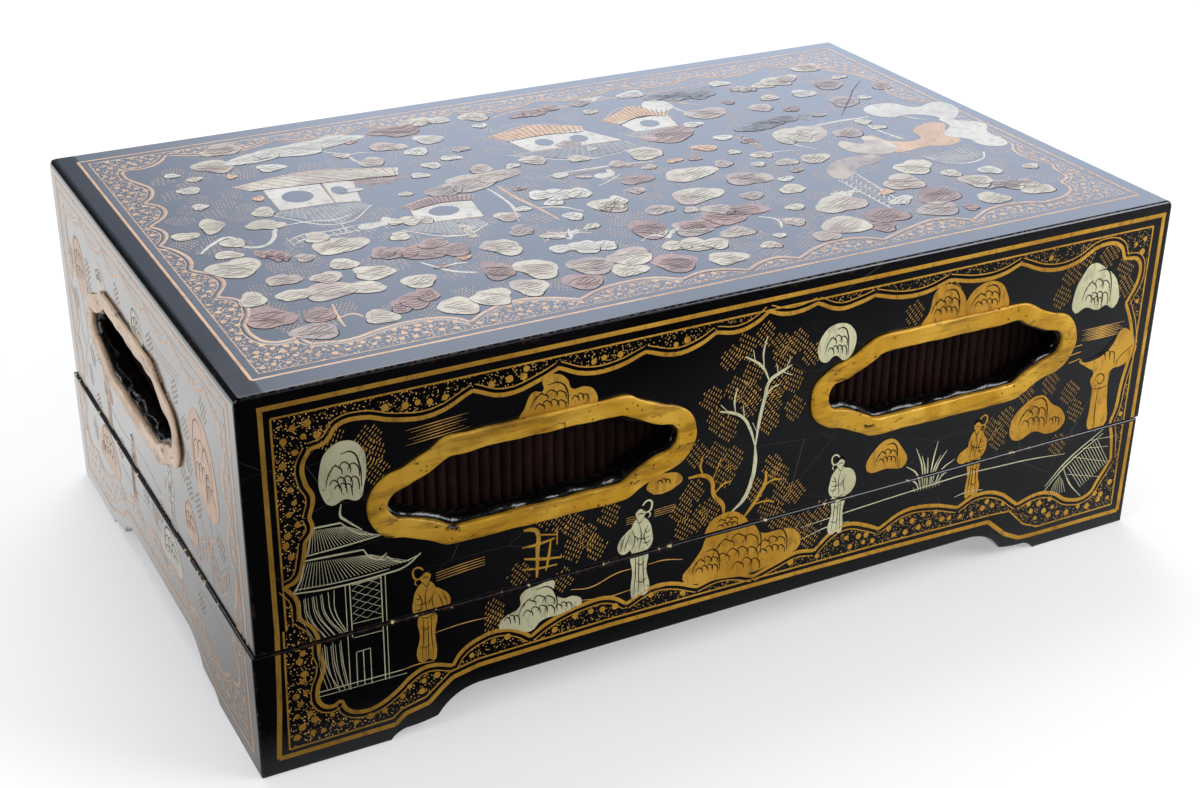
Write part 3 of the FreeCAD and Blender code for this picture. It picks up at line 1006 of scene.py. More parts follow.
cover_curve = rounded(cover_scallops)[::-1]
base_band = base_edge + rounded(base_scallops)
front.strokes_in("gold", (
    (1.8, [(9.7, 60), (9.7, 147.2)]), (1.8, [(8.7, 147.2), (398, 147.2)]),
    (1.8, [(397, 147.2), (397, 60)]), (0.75, [(13.1, 60), (13.1, 143)]),
    (0.75, [(13.1, 143), (392, 143)]), (0.75, [(392, 143), (392, 60)])), 1)
foot_line = [(9.7, 60), (8.6, 30), (6.9, 6.9), (51.7, 6.9), (55.8, 10.4), (65.2, 12.2), (70.5, 17),
             (75.1, 20.5), (85.5, 22.6), (140.6, 23.6), (237, 22.4), (272.9, 21.7), (323, 20.2),
             (332.9, 11.5), (341, 7.4), (348.5, 7), (396.6, 6.5), (397, 60)]
front.ruled("gold", 1.9, foot_line)
front.ruled("gold", 0.7, base_edge)
front.fill("speckle", cover_edge + cover_curve, True)
front.fill("speckle", base_band, True)
scallops(front, "gold", cover_scallops, 1)
scallops(front, "gold", base_scallops, -1)
dotted_band = [(11.6, 40), (11.6, 144.5), (393.5, 144.5), (393.5, 40)] + cover_curve
sprinkle(front, "gold", dotted_band, None, 2.6, 5.6, 3.5, 5, 1.2)
sprinkle(front, "gold", base_band, None, 2.6, 5.6, 2.6, 6, 1.2)


def mound(painting, paint, points, arch_rows):
    """A rock, cloud or crown: one flat body of paint with black arches over it."""
    painting.fill(paint, points)
    for arch in arch_rows:
        arches(painting, *arch)


# Rocks, clouds and crowns of gold and silver round the windows.
for points, arch_rows in (
        ([(103, 120.5), (105.2, 125.5), (108.6, 131.2), (112.4, 130.8), (112.4, 135.2), (117.7, 136.3),
          (122, 133.4), (123.9, 129.1), (129.2, 128.9), (133.2, 126.1), (133.5, 120.5)],
          [(115, 123, 6.5, 7.5, 4, 0.05), (127, 123, 3.6, 3.6, 2)]),
        ([(155.7, 79), (157.1, 83), (163.3, 84.6), (170.8, 81.1), (169.8, 78.6)],
          [(162.5, 80, 3, 2.6, 2)]),
        ([(277.3, 120.5), (280.5, 127.2), (283, 135.7), (290.2, 136.9), (296.4, 131.9), (298.4, 126),
          (298, 120.5)], [(288, 124, 6, 8, 4, 0.1)]),
        ([(297.5, 120.5), (299, 129), (304.3, 133.6), (313.2, 133.6), (318.5, 127.5), (319.2, 120.5)],
          [(308, 124, 6, 6.5, 3, 0.1)]),
        ([(329.9, 58.8), (328.9, 66.3), (333.4, 72.5), (343.6, 76.1), (350, 70.5), (356.1, 66),
          (357.8, 59.5), (350, 56.4), (341.8, 59.4), (334.1, 57)], [(340.5, 61.5, 6.5, 10, 4),
          (352, 60, 3, 4, 2)]),
        ([(256.6, 62), (260.2, 71.1), (267.4, 74), (272.8, 69.2), (275.7, 60.3), (266.2, 60.6)],
          [(266, 63, 4.6, 6.6, 3)]),
        ([(182.6, 50), (183.5, 56.9), (188.8, 59.8), (196.5, 58.8), (201, 50)],
          [(191.5, 53.5, 5, 4.4, 3)]),
        ([(172.4, 35), (176.6, 41.1), (180.7, 46.6), (182.7, 51), (192.6, 52), (204.9, 51),
          (207.8, 46.5), (216.2, 45.6), (223.2, 44), (226.6, 36.3), (217.2, 31.5), (200.4, 28.9),
          (189.1, 30.3), (179.2, 31)], [(196.5, 37, 10, 12, 4), (212.8, 35.5, 6.5, 8, 3),
          (183, 35, 5.4, 7.5, 3), (201, 31.5, 7, 5.5, 2)])):
    mound(front, "gold", points, arch_rows)
for points, arch_rows in (
        ([(29.3, 108.8), (28.9, 120.8), (32.2, 127.1), (39.6, 128.8), (44.6, 124), (45.4, 118.2),
          (44.3, 110.4), (42.2, 105.2), (37, 106.6), (32.4, 105.2)], [(37, 110, 5.6, 11, 4, 0.05),
          (36.5, 108, 3.4, 5, 2)]),
        ([(229.4, 118.3), (230.3, 127), (236.9, 131), (244.8, 127.2), (245.6, 118.4), (241.8, 114.6),
          (236.8, 117.6), (233, 115.4)], [(237.5, 117.5, 4.6, 8.6, 4)]),
        ([(355.6, 111.1), (354.2, 120.5), (358.2, 128.8), (361.6, 132), (368.9, 129), (377.4, 119.3),
          (376.5, 109.5), (372, 111.6), (367.8, 110.2), (361, 112.6)], [(366, 113, 6.6, 11.5, 4),
          (366, 111.5, 3.5, 5, 2)]),
        ([(94.1, 36.1), (95.6, 39.9), (102.6, 43.2), (103.2, 48.5), (110.7, 50.5), (116.7, 50.6),
          (116.7, 45.5), (120.7, 41.6), (124.8, 41.5), (128.5, 38.2), (125.9, 35.6), (119.7, 34.8),
          (111.6, 34.5), (107, 31), (100.5, 33.7)], [(110, 37, 7, 9, 4), (99, 36, 3.4, 4.6, 2),
          (120.5, 36.5, 3.8, 3.6, 2)])):
    mound(front, "silver", points, arch_rows)
front.stroke("silver", 0.9, [(35.6, 105), (35.2, 100.2), (36.6, 98.6), (42.7, 92.9)])

# The lakeside pavilion at the left, in silver line.
pavilion = (
    (1.3, [(24.9, 98.2), (35, 97.7)]), (0.8, [(24.9, 98.4), (22.4, 88.4)]),
    (0.8, [(35, 97.7), (41, 92), (49, 89.2)]), (0.9, [(21.8, 87.9), (35, 88.2), (50, 88.9)]),
    (1.1, [(21.6, 86.1), (30, 85.6), (42.7, 84.8)]), (0.9, [(48.6, 79.3), (51.3, 81)]),
    (0.9, [(42.7, 84.8), (45.5, 80.6), (50.8, 78.4)]), (0.9, [(21, 85), (19.6, 79), (16.6, 74.2)]),
    (0.9, [(16.3, 74.2), (30, 72.6), (50.6, 72.7), (58, 73.6), (64.1, 77.5)]),
    (0.7, [(51, 80), (56, 76), (63.4, 76.8)]), (0.6, [(17, 75.6), (33, 74.2), (52, 74.3)]),
    (0.8, [(37, 72.5), (37, 50)]), (0.6, [(35.3, 72.5), (35.2, 28)]), (0.8, [(48.7, 72.5), (48.6, 28)]),
    (0.6, [(50.3, 72.5), (50.1, 28)]), (0.5, [(37.8, 71.6), (48.6, 71.8)]),
    (0.5, [(37.4, 55.6), (48.4, 55.2)]), (0.5, [(20.6, 71.2), (21.2, 64), (27.9, 52)]),
    (0.5, [(23.6, 71.2), (24.4, 64), (31, 52)]), (0.5, [(26.7, 71.1), (27.6, 63), (34, 52)]),
    (0.5, [(31.2, 71.5), (31.2, 63), (34.9, 53)]), (0.5, [(29, 71.3), (29.6, 63), (34.5, 52.6)]),
    (0.6, [(20, 52.4), (48, 52.8)]), (0.5, [(26.5, 50), (27, 40), (31, 29)]),
    (0.5, [(29.5, 50), (30, 40), (33, 29)]), (0.5, [(32.5, 50), (33, 40), (34.6, 29)]),
    (0.6, [(38.2, 43.2), (43.4, 43.4)]), (0.6, [(43.4, 43.4), (43.4, 28)]),
    (0.6, [(38.1, 43.2), (37.9, 28.9)]), (0.7, [(40.7, 43.2), (40.7, 28.6)]),
    (0.8, [(22.6, 30.6), (55.5, 30.1)]), (0.5, [(23.4, 28.6), (57, 28.2)]),
    (0.5, [(37.4, 49.6), (48.4, 49.4)]))
for width, points in pavilion:
    front.stroke("silver", width * 0.75, points, 0.7)
for step in range(22):
    slant = step / 21
    front.stroke("silver", 0.26, [
        (24.6 + 12 * slant, 97.4 - 1.4 * slant), (23 + 25 * slant, 88.6 + 0.6 * slant)], 0.8)
for step in range(30):
    slant = step / 29
    front.stroke("silver", 0.26, [
        (21.8 + 23 * slant, 85.2 - 3 * slant), (17.6 + 42 * slant, 74.6 + 0.8 * slant)], 0.8)
for step in range(6):
    front.stroke("silver", 0.24, [
        (18.6 + step * 1.5, 71), (19 + step * 1.6, 63), (23 + step * 1.9, 53)], 0.8)
    front.stroke("silver", 0.24, [
        (24 + step * 1.6, 49), (24.4 + step * 1.6, 40), (26.6 + step * 1.4, 31)], 0.8)
for step in range(5):
    low = 56.5 + step * 3.2
    for foot, head in ((37.6, 42.8), (42.8, 37.6), (42.8, 48.2), (48.2, 42.8)):
        front.stroke("silver", 0.36, [(foot, low), (head, low + 3.4)])


def lady(painting, paint, across, ground, tall, turned=1, fan=True):
    """A standing lady in a long robe: hair, a plain oval face, body, sleeves and skirt."""
    size = tall / 43

    def put(points):
        return [(across + turned * x * size, ground + y * size) for x, y in points]

    bodies = [
        [(-1.8, 36.6), (-1.9, 39.6), (0, 41.2), (1.9, 39.6), (1.6, 36.8), (0, 35.6)],
        [(-1.4, 36), (-3.9, 33.6), (-5.4, 28.6), (-5.6, 24), (-3.8, 21.4), (0, 20.6), (3.6, 21.6),
         (4.4, 27), (3.8, 32.6), (1.4, 36)],
        [(-2.7, 22), (-3.2, 12), (-4.2, 1.6), (-2, 0.2), (0, 1.2), (2.6, 0), (3.4, 1.8), (3, 12),
         (3, 22)]]
    if fan:
        bodies.insert(2, [(3.4, 32.2), (6.6, 30.6), (9.2, 27.6), (9.6, 24), (7.4, 21.6), (4.6, 22.6),
                          (2.8, 27)])
    for points in bodies:
        painting.fill(paint, put(points))
    painting.stroke(paint, 0.8 * size, put([
        (-0.6, 41), (-2.6, 43), (-4.6, 42.6), (-5, 40.4), (-3.9, 38.2), (-2.2, 38)]), 0.8)
    painting.stroke(paint, 0.6 * size, put([(-3.6, 38.2), (-4.4, 36.6), (-3.6, 35.4)]), 0.5)
    painting.stroke(painting.ink, 1.5 * size, put([
        (-2, 39), (-0.8, 40.7), (1.2, 40.6), (2, 39.2)]), 0.6)
    for points in (
            [(-1.2, 36), (0.4, 34), (1.3, 36)], [(0.4, 34), (-0.6, 28), (0.4, 21.6)],
            [(-3.6, 32), (-1.8, 27.4), (-3.6, 22.6)], [(3.4, 31.6), (2.2, 26.8), (3.6, 22.4)],
            [(-4.6, 27), (-1.6, 26.4), (1.6, 27.6)], [(-1.6, 20.4), (-1.8, 12), (-2.6, 2.4)],
            [(0.2, 20.6), (0.2, 12), (0, 2)], [(1.8, 20.4), (1.6, 12), (2.2, 2)],
            [(-3, 21.2), (0, 20), (3.2, 21.2)], [(-4.4, 30), (-3, 29), (-2.2, 31)],
            [(-4.9, 25), (-2.8, 24.2), (-1.2, 25)], [(2.6, 29), (1.4, 27.6), (0.8, 25.4)],
            [(-3.4, 8), (-1, 6.6), (1, 8)], [(-2.4, 16), (-0.6, 14.8), (1.2, 16)],
            [(-1.5, 37.6), (0, 38.2), (1.3, 37.4)], [(4.6, 29.6), (6, 26), (6.8, 22.8)],
            [(6.4, 30), (7.8, 26.6), (8.4, 23.4)]):
        if fan or max(x for x, _ in points) < 4:
            painting.stroke(painting.ink, 0.5 * size, put(points))


# Two of the ladies hold out a wide sleeve instead of a fan.
lady(front, "gold", 65.6, 30.6, 41)
lady(front, "silver", 153, 32.6, 42, -1)
lady(front, "silver", 243.6, 36, 37, 1, False)
front.fill("silver", [
    (241.5, 64.5), (239.9, 58), (240.6, 54), (246, 53.2), (250.2, 55), (251, 62), (246.6, 66)])
lady(front, "gold", 311.4, 35.4, 38, -1, False)
front.fill("gold", [
    (314.6, 63.8), (307.5, 60.4), (302.5, 56.6), (303.6, 53.4), (309, 53.8), (315.8, 55)])

# Thin gold mist lines and the ground lines under the figures.
for step in range(6):
    front.stroke("dull_gold", 0.42, [
        (60 + step * 2 % 5, 127.4 - step * 1.15), (72, 128.2 - step * 1.15),
        (84 - step * 3 % 5, 128.9 - step * 1.1)], 0.15)
for step in range(4):
    front.stroke("dull_gold", 0.4, [
        (69.6, 67.4 - step * 1.1), (80, 68.4 - step * 1.1), (88.9, 68.9 - step * 1.1)])
    front.stroke("dull_gold", 0.42, [(147, 69.3 - step * 0.9), (153, 68.9 - step * 0.9)])
    front.stroke("dull_gold", 0.42, [(159, 69.6 - step * 0.9), (168, 70 - step * 0.9)])
for step in range(8):
    front.stroke("dull_gold", 0.5, [
        (361 + step * 5 % 3, 102 - step * 0.75), (372, 101.8 - step * 0.75),
        (384 - step * 3 % 4, 101.7 - step * 0.75)], 0.15)
front.strokes_in("dull_gold", (
    (0.5, [(68.6, 42.2), (79, 42.9), (90.1, 42.5)]), (0.5, [(55, 30), (61, 30.6), (68, 30)]),
    (0.5, [(123.8, 44.5), (132, 43.1), (143.4, 46.2), (150, 46.4)]),
    (0.5, [(157, 46.3), (164, 46.2), (172.1, 44.2)]), (0.5, [(128, 38.5), (139, 36.6), (150, 37)]),
    (0.5, [(157, 33.6), (165, 34.4), (173, 33.2)])))
front.strokes_in("silver", (
    (0.5, [(226.4, 43.6), (252, 45.2), (286.7, 46.7), (307.5, 47.4), (324, 46.8), (342.6, 45.9),
        (360.9, 43.9)]), (0.5, [(227, 38), (240, 40.6), (250, 40.2)]),
    (0.5, [(303, 37.6), (309, 38.4), (318, 37.4)])))

# Trees: a gold stump by the silver stone, and the great silver tree with gold trees beside it.
front.strokes_in("gold", (
    (1.7, [(104.4, 75.6), (107.6, 75.2), (109.8, 73.8), (110, 66), (109.7, 54)]),
    (1.3, [(103.8, 68.4), (110, 68.2), (117, 69)]), (1.3, [(104.6, 63.4), (112, 61.4), (120, 60)]),
    (1.2, [(111.2, 72), (117.7, 70.4)]), (1.2, [(115.4, 68.6), (114.6, 62), (113.4, 56)]),
    (1.0, [(104, 59), (110, 57.8), (118, 57.4)]), (1.0, [(118, 73), (118, 66)]),
    (1.8, [(189.9, 60), (189.3, 64), (185.1, 69.4), (183.8, 76.2), (180.4, 79.2), (173.5, 79.9)]),
    (1.0, [(179.8, 79.8), (178.6, 83.6), (179.5, 87.8)]), (1.0, [(184.3, 76.6), (187.7, 84.7)]),
    (1.0, [(185, 69.8), (189.6, 73.4), (192.6, 73.8)]),
    (1.6, [(199.4, 56), (203.1, 60.4), (206.2, 65), (208.2, 68.4), (208.4, 74.2)]),
    (1.0, [(207.4, 67.4), (212, 69.4), (216, 68.5)]),
    (0.9, [(203, 60.4), (209, 60.6), (213, 59)])), 0.5)
front.strokes_in("silver", (
    (1.8, [(193.7, 60), (198.5, 63.8), (201.9, 71.5), (203.1, 79.8), (202.7, 86.3)]),
    (1.5, [(202.7, 86.3), (204.2, 98.5), (205.9, 106.4), (207.6, 113.2), (212.9, 116.1), (217.4, 118)]),
    (1.2, [(202.7, 86.3), (200.1, 94.3), (196.5, 100.3), (191, 103.7), (186, 105.2)]),
    (1.2, [(207.6, 113.2), (204, 120.1), (196.4, 125.9)]),
    (0.9, [(193.1, 103.2), (192.4, 108), (193.4, 113.6)]), (0.9, [(197.1, 100), (196.4, 105.4)]),
    (0.9, [(204.8, 119.6), (204.2, 126), (205.6, 132.4)]), (0.9, [(211.3, 115.5), (210.3, 120.2)]),
    (0.8, [(205.9, 106.4), (209, 110), (212.4, 111)]), (0.8, [(214.6, 116.6), (216.6, 121.6)]),
    (0.8, [(200.6, 123.4), (199.6, 128)]), (0.8, [(190, 104), (186.4, 108)]),
    (0.7, [(201, 97), (203.4, 92)]), (0.8, [(213, 116), (217.6, 113.6)])))

# A tuft of silver grass, the gold gate bracket at the right, and the roof below it.
for tip in ((280.7, 66.1), (287, 60.5), (291.5, 67), (296.6, 61.6), (276.4, 58.9), (301.2, 56.3),
            (304, 52), (274, 52.4), (284, 62), (293.6, 60)):
    root = (288 + (tip[0] - 288) * 0.28, 46.4)
    bend = ((root[0] * 2 + tip[0]) / 3, (root[1] + tip[1]) / 2 + 1.6)
    front.stroke("silver", 0.75, [root, bend, tip], 0.35)
for step in range(9):
    front.stroke("silver", 0.5, [(282 + step * 1.5, 45.4), (281 + step * 1.75, 48 + step % 3 * 1.6)])
mound(front, "gold", [
    (362.1, 88.6), (364, 86.8), (370.6, 86.7), (375, 88.2), (379.4, 92), (382, 97), (384.4, 98.4),
    (388.6, 95.4), (391.2, 91.8), (392.3, 85), (388.5, 81.6), (384.6, 80.4), (380.6, 80), (379.6, 76.4),
    (380.4, 66), (380.4, 52.4), (372.7, 52.4), (371.4, 64), (371, 73), (369.5, 77), (370.6, 80.6),
    (366.4, 84)], [(376.6, 84, 4.6, 5.6, 2, 0.1)])
front.strokes_in("ink", (
    (0.5, [(373.4, 76.6), (374.6, 74.4), (376.8, 75.4), (376.4, 78.2), (373.4, 79), (371.8, 76.4)]),
    (0.5, [(371.6, 72.6), (375.8, 72), (380, 72.8)]), (0.5, [(374.4, 72), (374.6, 60), (375.2, 53)]),
    (0.45, [(364, 87.6), (371, 88.6), (377, 92.4), (381.6, 97)]),
    (0.45, [(381.4, 81.4), (386, 86.6), (391.4, 89.4)])))
for step in range(3):
    front.stroke("gold", 0.8, [(356 - step * 1.4, 88 + step * 3.4), (362, 89 + step * 3.2)], 0.6)
for start in (0, 2.2):
    front.stroke("silver", 0.8, [(352.2, 27.8 + start), (362, 37.3 + start), (381.3, 48.9 + start)])
front.strokes_in("silver", (
    (0.6, [(360.7, 38), (366, 28), (373.4, 19.8)]), (0.5, [(366, 41), (386.8, 33.6)]),
    (0.5, [(371, 44), (385.4, 41.6)]), (0.5, [(375, 47), (388, 46)]), (0.5, [(364, 33), (383, 27)])))
for step in range(14):
    part = step / 13
    front.stroke("silver", 0.34, [
        (363.6 + 15 * part, 36.8 + 9.6 * part), (372.6 + 14 * part, 24.6 + 9 * part)], 0.8)
for step in range(7):
    front.stroke("silver", 0.6, [(355 + step * 1.5, 24.4), (357.6 + step * 0.7, 33.6 - abs(step - 3))])

# Needle and leaf clouds of crossed dashes behind the trees and rocks.
needle_clouds = [
    (48, 122), (47, 128), (33, 131), (48.6, 115), (119.7, 75), (125.7, 71.6), (124.7, 62),
    (120.7, 50), (102.7, 57.4), (91.8, 44.3), (92.6, 38.7), (131, 66), (113, 79.6), (205, 133),
    (212, 127.5), (196.4, 129.7), (190, 126.6), (219.7, 127), (226.5, 120.5), (213, 121.9),
    (200, 117.8), (211.4, 110.2), (218.3, 111.3), (192.7, 113.3), (182.2, 111.9), (198.6, 110.2),
    (190.3, 97), (184.8, 101.8), (209.8, 103.7), (219.5, 99.1), (208.5, 95.7), (199.8, 105.4),
    (177, 89), (185.5, 86.5), (193, 83.4), (190, 77), (176.4, 73.6), (183.4, 62.9), (172.7, 57.7),
    (179, 60.3), (171, 66), (211, 76), (214.6, 70.7), (222, 61), (216.5, 63), (204, 66.5),
    (210, 56.4), (214.6, 51), (220.6, 46), (227.5, 46.4), (230.7, 38.3), (236, 49), (347.7, 119.5),
    (352, 129), (358, 136.8), (370.7, 134.3), (380, 126.8), (381, 118), (323, 60.5), (335, 80),
    (347.5, 80.3), (358.7, 73.8), (363.3, 64.3), (326, 70), (318, 66), (356, 50), (290, 134),
    (273, 128), (140, 73), (134, 60)]
for seed, (across, up) in enumerate(needle_clouds):
    hatch(front, "dull_gold", across, up, seed)

front_wall = facing((1, 0, 0), (0, 0, 1), (base_x - side_x, front_y, 0))
front.dry([("cover", front_wall, seam_top, None), ("base", front_wall, None, seam_bottom)])

# ---------------------------------------------------------------------------
# Top painting: leaves, trees and garden houses in tinted silver, raised on the lacquer with
# scratched veins, inside a wide speckled border. Its gilt lines and specks are painted paler than
# the front's gold: painted sheen.

paint_levels.update({
    "top_speckle": 0.02, "top_gap": 0.035, "top_ochre": 0.0, "top_peach": 0.0447, "top_white": 0.055,
    "top_cream": 0.0505, "top_brown": 0.046, "top_mauve": 0.0475, "top_grey": 0.0403,
    "top_ink": 0.10, "top_hole": 0.101})
paints.update({
    # The peach specks and lines are the gold painted paler: painted sheen on the top.
    "top_speckle": speckled_band("top_speckle", "e6ba8e", "c09672", 800, 0.28),
    "top_gap": paints["gap"],
    "top_hole": paints["gap"],
    "top_ochre": powder_paint("top_ochre", "d6b092", "ba9274", "8c6a54", 0.05, 0.45, 0.4),
    "top_peach": powder_paint("top_peach", "e2b98c", "cfa27a", "a9805c", 0.15, 0.42),
    "top_white": powder_paint("top_white", "e4dfd2", "cfc9bd", "a59f94", 0.05, 0.42),
    "top_cream": powder_paint("top_cream", "dfd5bf", "cbc1ab", "9a9180", 0.05, 0.42, 0.5, "b0938a"),
    "top_brown": powder_paint("top_brown", "b08c80", "987468", "6a504a", 0.05, 0.42, 0.5, "7f5c52"),
    "top_mauve": powder_paint("top_mauve", "b8a49a", "9c8a82", "685a5a", 0.05, 0.42, 0.5, "c8b8a2"),
    "top_grey": powder_paint("top_grey", "8f8f90", "77787c", "55565b", 0.05, 0.42),
    "top_ink": dark_line("top_line_lacquer", "17171b", "2c2a2c", 0),
})
top = Painting("top", ink="top_ink")

top_scallops = lobed(
    [(38.8, 28.5), (51.4, 25.9), (64.5, 29.1), (80, 30), (90.5, 26)], [(94.2, 20.5), (104.4, 26.8),
    (116.4, 29.8), (128.6, 26.4)], [(137.6, 20.6), (149, 25.6), (159, 26.9), (170, 26)], [(180, 20),
    (190, 22.6), (199, 20.6)], [(206.3, 16.4), (214.7, 20.6), (223, 21.5)], [(229.5, 17.4),
    (241.6, 23.3), (252.9, 25.3), (262.9, 23.4)], [(269.4, 18.4), (283.6, 23.2), (302.3, 26.4)],
    [(313.5, 19.6), (327.4, 26.2), (344.2, 25.5)], [(352, 22), (364, 24), (372, 30)], [(373, 37),
    (379.6, 41.2), (381, 50)], [(384, 56), (380, 64), (379.6, 75)], [(385, 84), (380.6, 96),
    (379, 106)], [(385, 116), (380, 126), (380.6, 138)], [(385, 146), (379, 158), (378.6, 170)],
    [(385, 179), (381, 190), (378, 200)], [(372, 206), (371, 214), (364, 222), (352, 223)], [(346, 229),
    (334, 223), (318, 222)], [(306, 229), (292, 224), (276, 224)], [(264, 230), (250, 225), (234, 224)],
    [(222, 230), (208, 224), (192, 224)], [(180, 230), (166, 224), (148, 224)], [(136, 230), (122, 224),
    (106, 224)], [(94, 230), (78, 224), (60, 226)], [(47, 232), (41, 224), (34, 220.6), (26, 221)],
    [(24.4, 212), (28, 203), (30.2, 197.4), (28, 187)], [(23.6, 181.6), (28.2, 175), (27.6, 166)],
    [(18.6, 156), (21.9, 149), (20.6, 141)], [(16.6, 135.6), (21, 127), (22.8, 116)], [(20.3, 107.8),
    (26, 100), (27.8, 92)], [(21.8, 80.4), (27.6, 74), (28, 64)], [(22.7, 52.6), (22.6, 43), (26, 36),
    (32.1, 34.6)], [(36.6, 36), (37.4, 31)], [(38.8, 28.5)])
top_edge = [(14.8, 14.6), (388.2, 14.6), (388.2, 236.4), (14.8, 236.4)]
top_inner = rounded(top_scallops)
top_right = 403  # where the border's insets are measured from, in millimetres
top_back = 251
for width, inset in ((1.2, 11.2), (0.5, 14.8)):
    corners = [(inset, inset - 0.4), (top_right - inset, inset - 0.4),
               (top_right - inset, top_back - inset), (inset, top_back - inset)]
    top.ruled("top_peach", width, corners + corners[:1])
scallops(top, "top_peach", top_scallops, -1, 1.4, 0.5, 2.2)
sprinkle(top, "top_peach", top_edge, top_inner, 2.3, 5.0, 1.6, 9, 0.8)


def nearest(outline, spot):
    """The number of an outline's point that lies nearest to a spot."""
    return min(range(len(outline)), key=lambda index: (Vector(outline[index]) - spot).length)


# The speckled band is filled in two halves, which meet at two corners.
near_corner = nearest(top_inner, Vector(top_edge[0]))
round_way = top_inner[near_corner:] + top_inner[:near_corner + 1]
far_corner = nearest(round_way, Vector(top_edge[2]))
top.fill("top_speckle", top_edge[:3] + round_way[far_corner::-1], True)
top.fill("top_speckle", top_edge[2:] + top_edge[:1] + round_way[:far_corner - 1:-1], True)


def leaf(painting, paint, across, up, long, deep, seed):
    """One raised leaf: an uneven rounded body with wavy lines scratched across its lower half."""
    dice = random.Random(seed * 31 + int(across))
    turn = dice.uniform(-0.3, 0.3)
    phase = dice.uniform(0, 6)
    pinch = dice.uniform(0.03, 0.14)
    rightward = Vector((math.cos(turn), math.sin(turn)))
    upward = Vector((-rightward.y, rightward.x))
    middle = Vector((across, up))
    points = []
    for step in range(14):
        angle = math.pi * step / 7
        reach = (1 + pinch * math.cos(2 * angle + phase) + 0.11 * math.cos(3 * angle + 2 * phase)
                 + dice.uniform(-0.1, 0.07)) / 2
        points.append(tuple(middle + rightward * long * reach * math.cos(angle)
                            + upward * deep * reach * math.sin(angle)))
    painting.fill(paint, points)
    painting.stroke(painting.ink, 0.45, [(x, y - 0.1) for x, y in points[7:]], 0.3)
    rows = max(2, int(deep / 2.4))
    for row in range(rows):
        level = -0.32 + 0.52 * row / max(rows - 1, 1)
        half = math.sqrt(0.20 - level * level) * dice.uniform(0.6, 0.9)
        start = dice.uniform(-0.1, 0.1)
        painting.stroke(painting.ink, 0.3, [
            tuple(middle + rightward * long * (start + half * part)
                  + upward * (deep * level + 0.7 * math.sin(3 * part + phase + row)))
            for part in (-1, -0.3, 0.4, 1)], 0.5)


def canopy(painting, paint, across, up, long, deep, seed):
    """A cloud-shaped crown of a tree: three leaves that run into one another."""
    dice = random.Random(seed)
    lift = dice.choice((-1, 1)) * deep * 0.16
    leaf(painting, paint, across, up, long * 0.56, deep * 0.95, seed)
    leaf(painting, paint, across - long * 0.31, up - lift, long * 0.44, deep * 0.66, seed + 40)
    leaf(painting, paint, across + long * 0.3, up + lift, long * 0.46, deep * 0.74, seed + 80)


# The leaves of each paint: their middles, lengths and depths.
top_leaves = {
    "top_cream": [
        (78, 106, 17, 15), (133, 77, 13, 13), (35, 102, 17, 15), (63, 79, 10, 9), (73, 88, 9, 9),
        (80, 76, 14, 11), (92, 61, 12, 10), (136, 52, 14, 15), (32, 72, 9, 10), (96, 34, 12, 13),
        (110, 36, 13, 13), (126, 38, 12, 13), (68, 38, 10, 11), (37, 115, 9, 7), (73, 117, 9, 8),
        (63, 151, 8, 9), (59, 138, 13, 9), (40, 146, 9, 12), (102, 104, 7, 7), (70, 228, 16, 12),
        (61, 210, 14, 13), (161, 158, 9, 8), (186, 158, 10, 9), (136, 201, 12, 10),
        (123, 186, 10, 9), (190, 97, 13, 13), (186, 221, 11, 10), (173, 47, 15, 14),
        (205, 29, 12, 11), (166, 36, 11, 11), (228, 91, 19, 14), (238, 114, 20, 13),
        (267, 80, 10, 8), (275, 57, 19, 15), (264, 37, 18, 14), (251, 31, 9, 9),
        (296, 107, 11, 10), (233, 145, 15, 13), (284, 179, 16, 13), (204, 151, 8, 7),
        (364, 217, 13, 10), (328, 79, 15, 14), (313, 66, 16, 14), (338, 66, 7, 7),
        (342, 54, 12, 12), (336, 35, 11, 11), (359, 36, 12, 11), (148, 104, 9, 8)],
    "top_brown": [
        (122, 57, 11, 14), (146, 34, 13, 12), (32, 55, 15, 16), (49, 49, 10, 11),
        (147, 219, 22, 12), (192, 68, 14, 16), (185, 34, 15, 14), (255, 161, 22, 17),
        (277, 30, 10, 10), (285, 39, 15, 14), (317, 47, 18, 14), (111, 92, 11, 8),
        (214, 118, 12, 9), (90, 92, 9, 8)],
    "top_mauve": [
        (48, 84, 11, 9), (155, 46, 16, 13), (43, 37, 14, 12), (62, 100, 7, 6), (208, 61, 15, 12),
        (206, 84, 10, 9), (228, 74, 11, 9), (257, 99, 16, 14), (248, 81, 9, 7),
        (381, 178, 8, 10), (359, 191, 14, 12), (351, 166, 13, 12), (308, 35, 16, 12),
        (222, 50, 12, 9), (328, 128, 13, 10)],
    "top_white": [
        (82, 198, 11, 7), (156, 202, 12, 9), (144, 171, 7, 6), (172, 93, 7, 7), (135, 162, 7, 5),
        (172, 110, 8, 7), (271, 91, 6, 5), (266, 218, 12, 8), (271, 168, 8, 6), (274, 147, 8, 5),
        (341, 184, 11, 8), (355, 62, 9, 8), (83, 212, 7, 5)],
    "top_peach": [(124, 214, 6, 4), (66, 166, 4, 5), (64, 195, 4, 4), (260, 139, 10, 6),
                  (240, 131, 6, 4), (300, 60, 6, 5), (116, 74, 5, 4)],
}
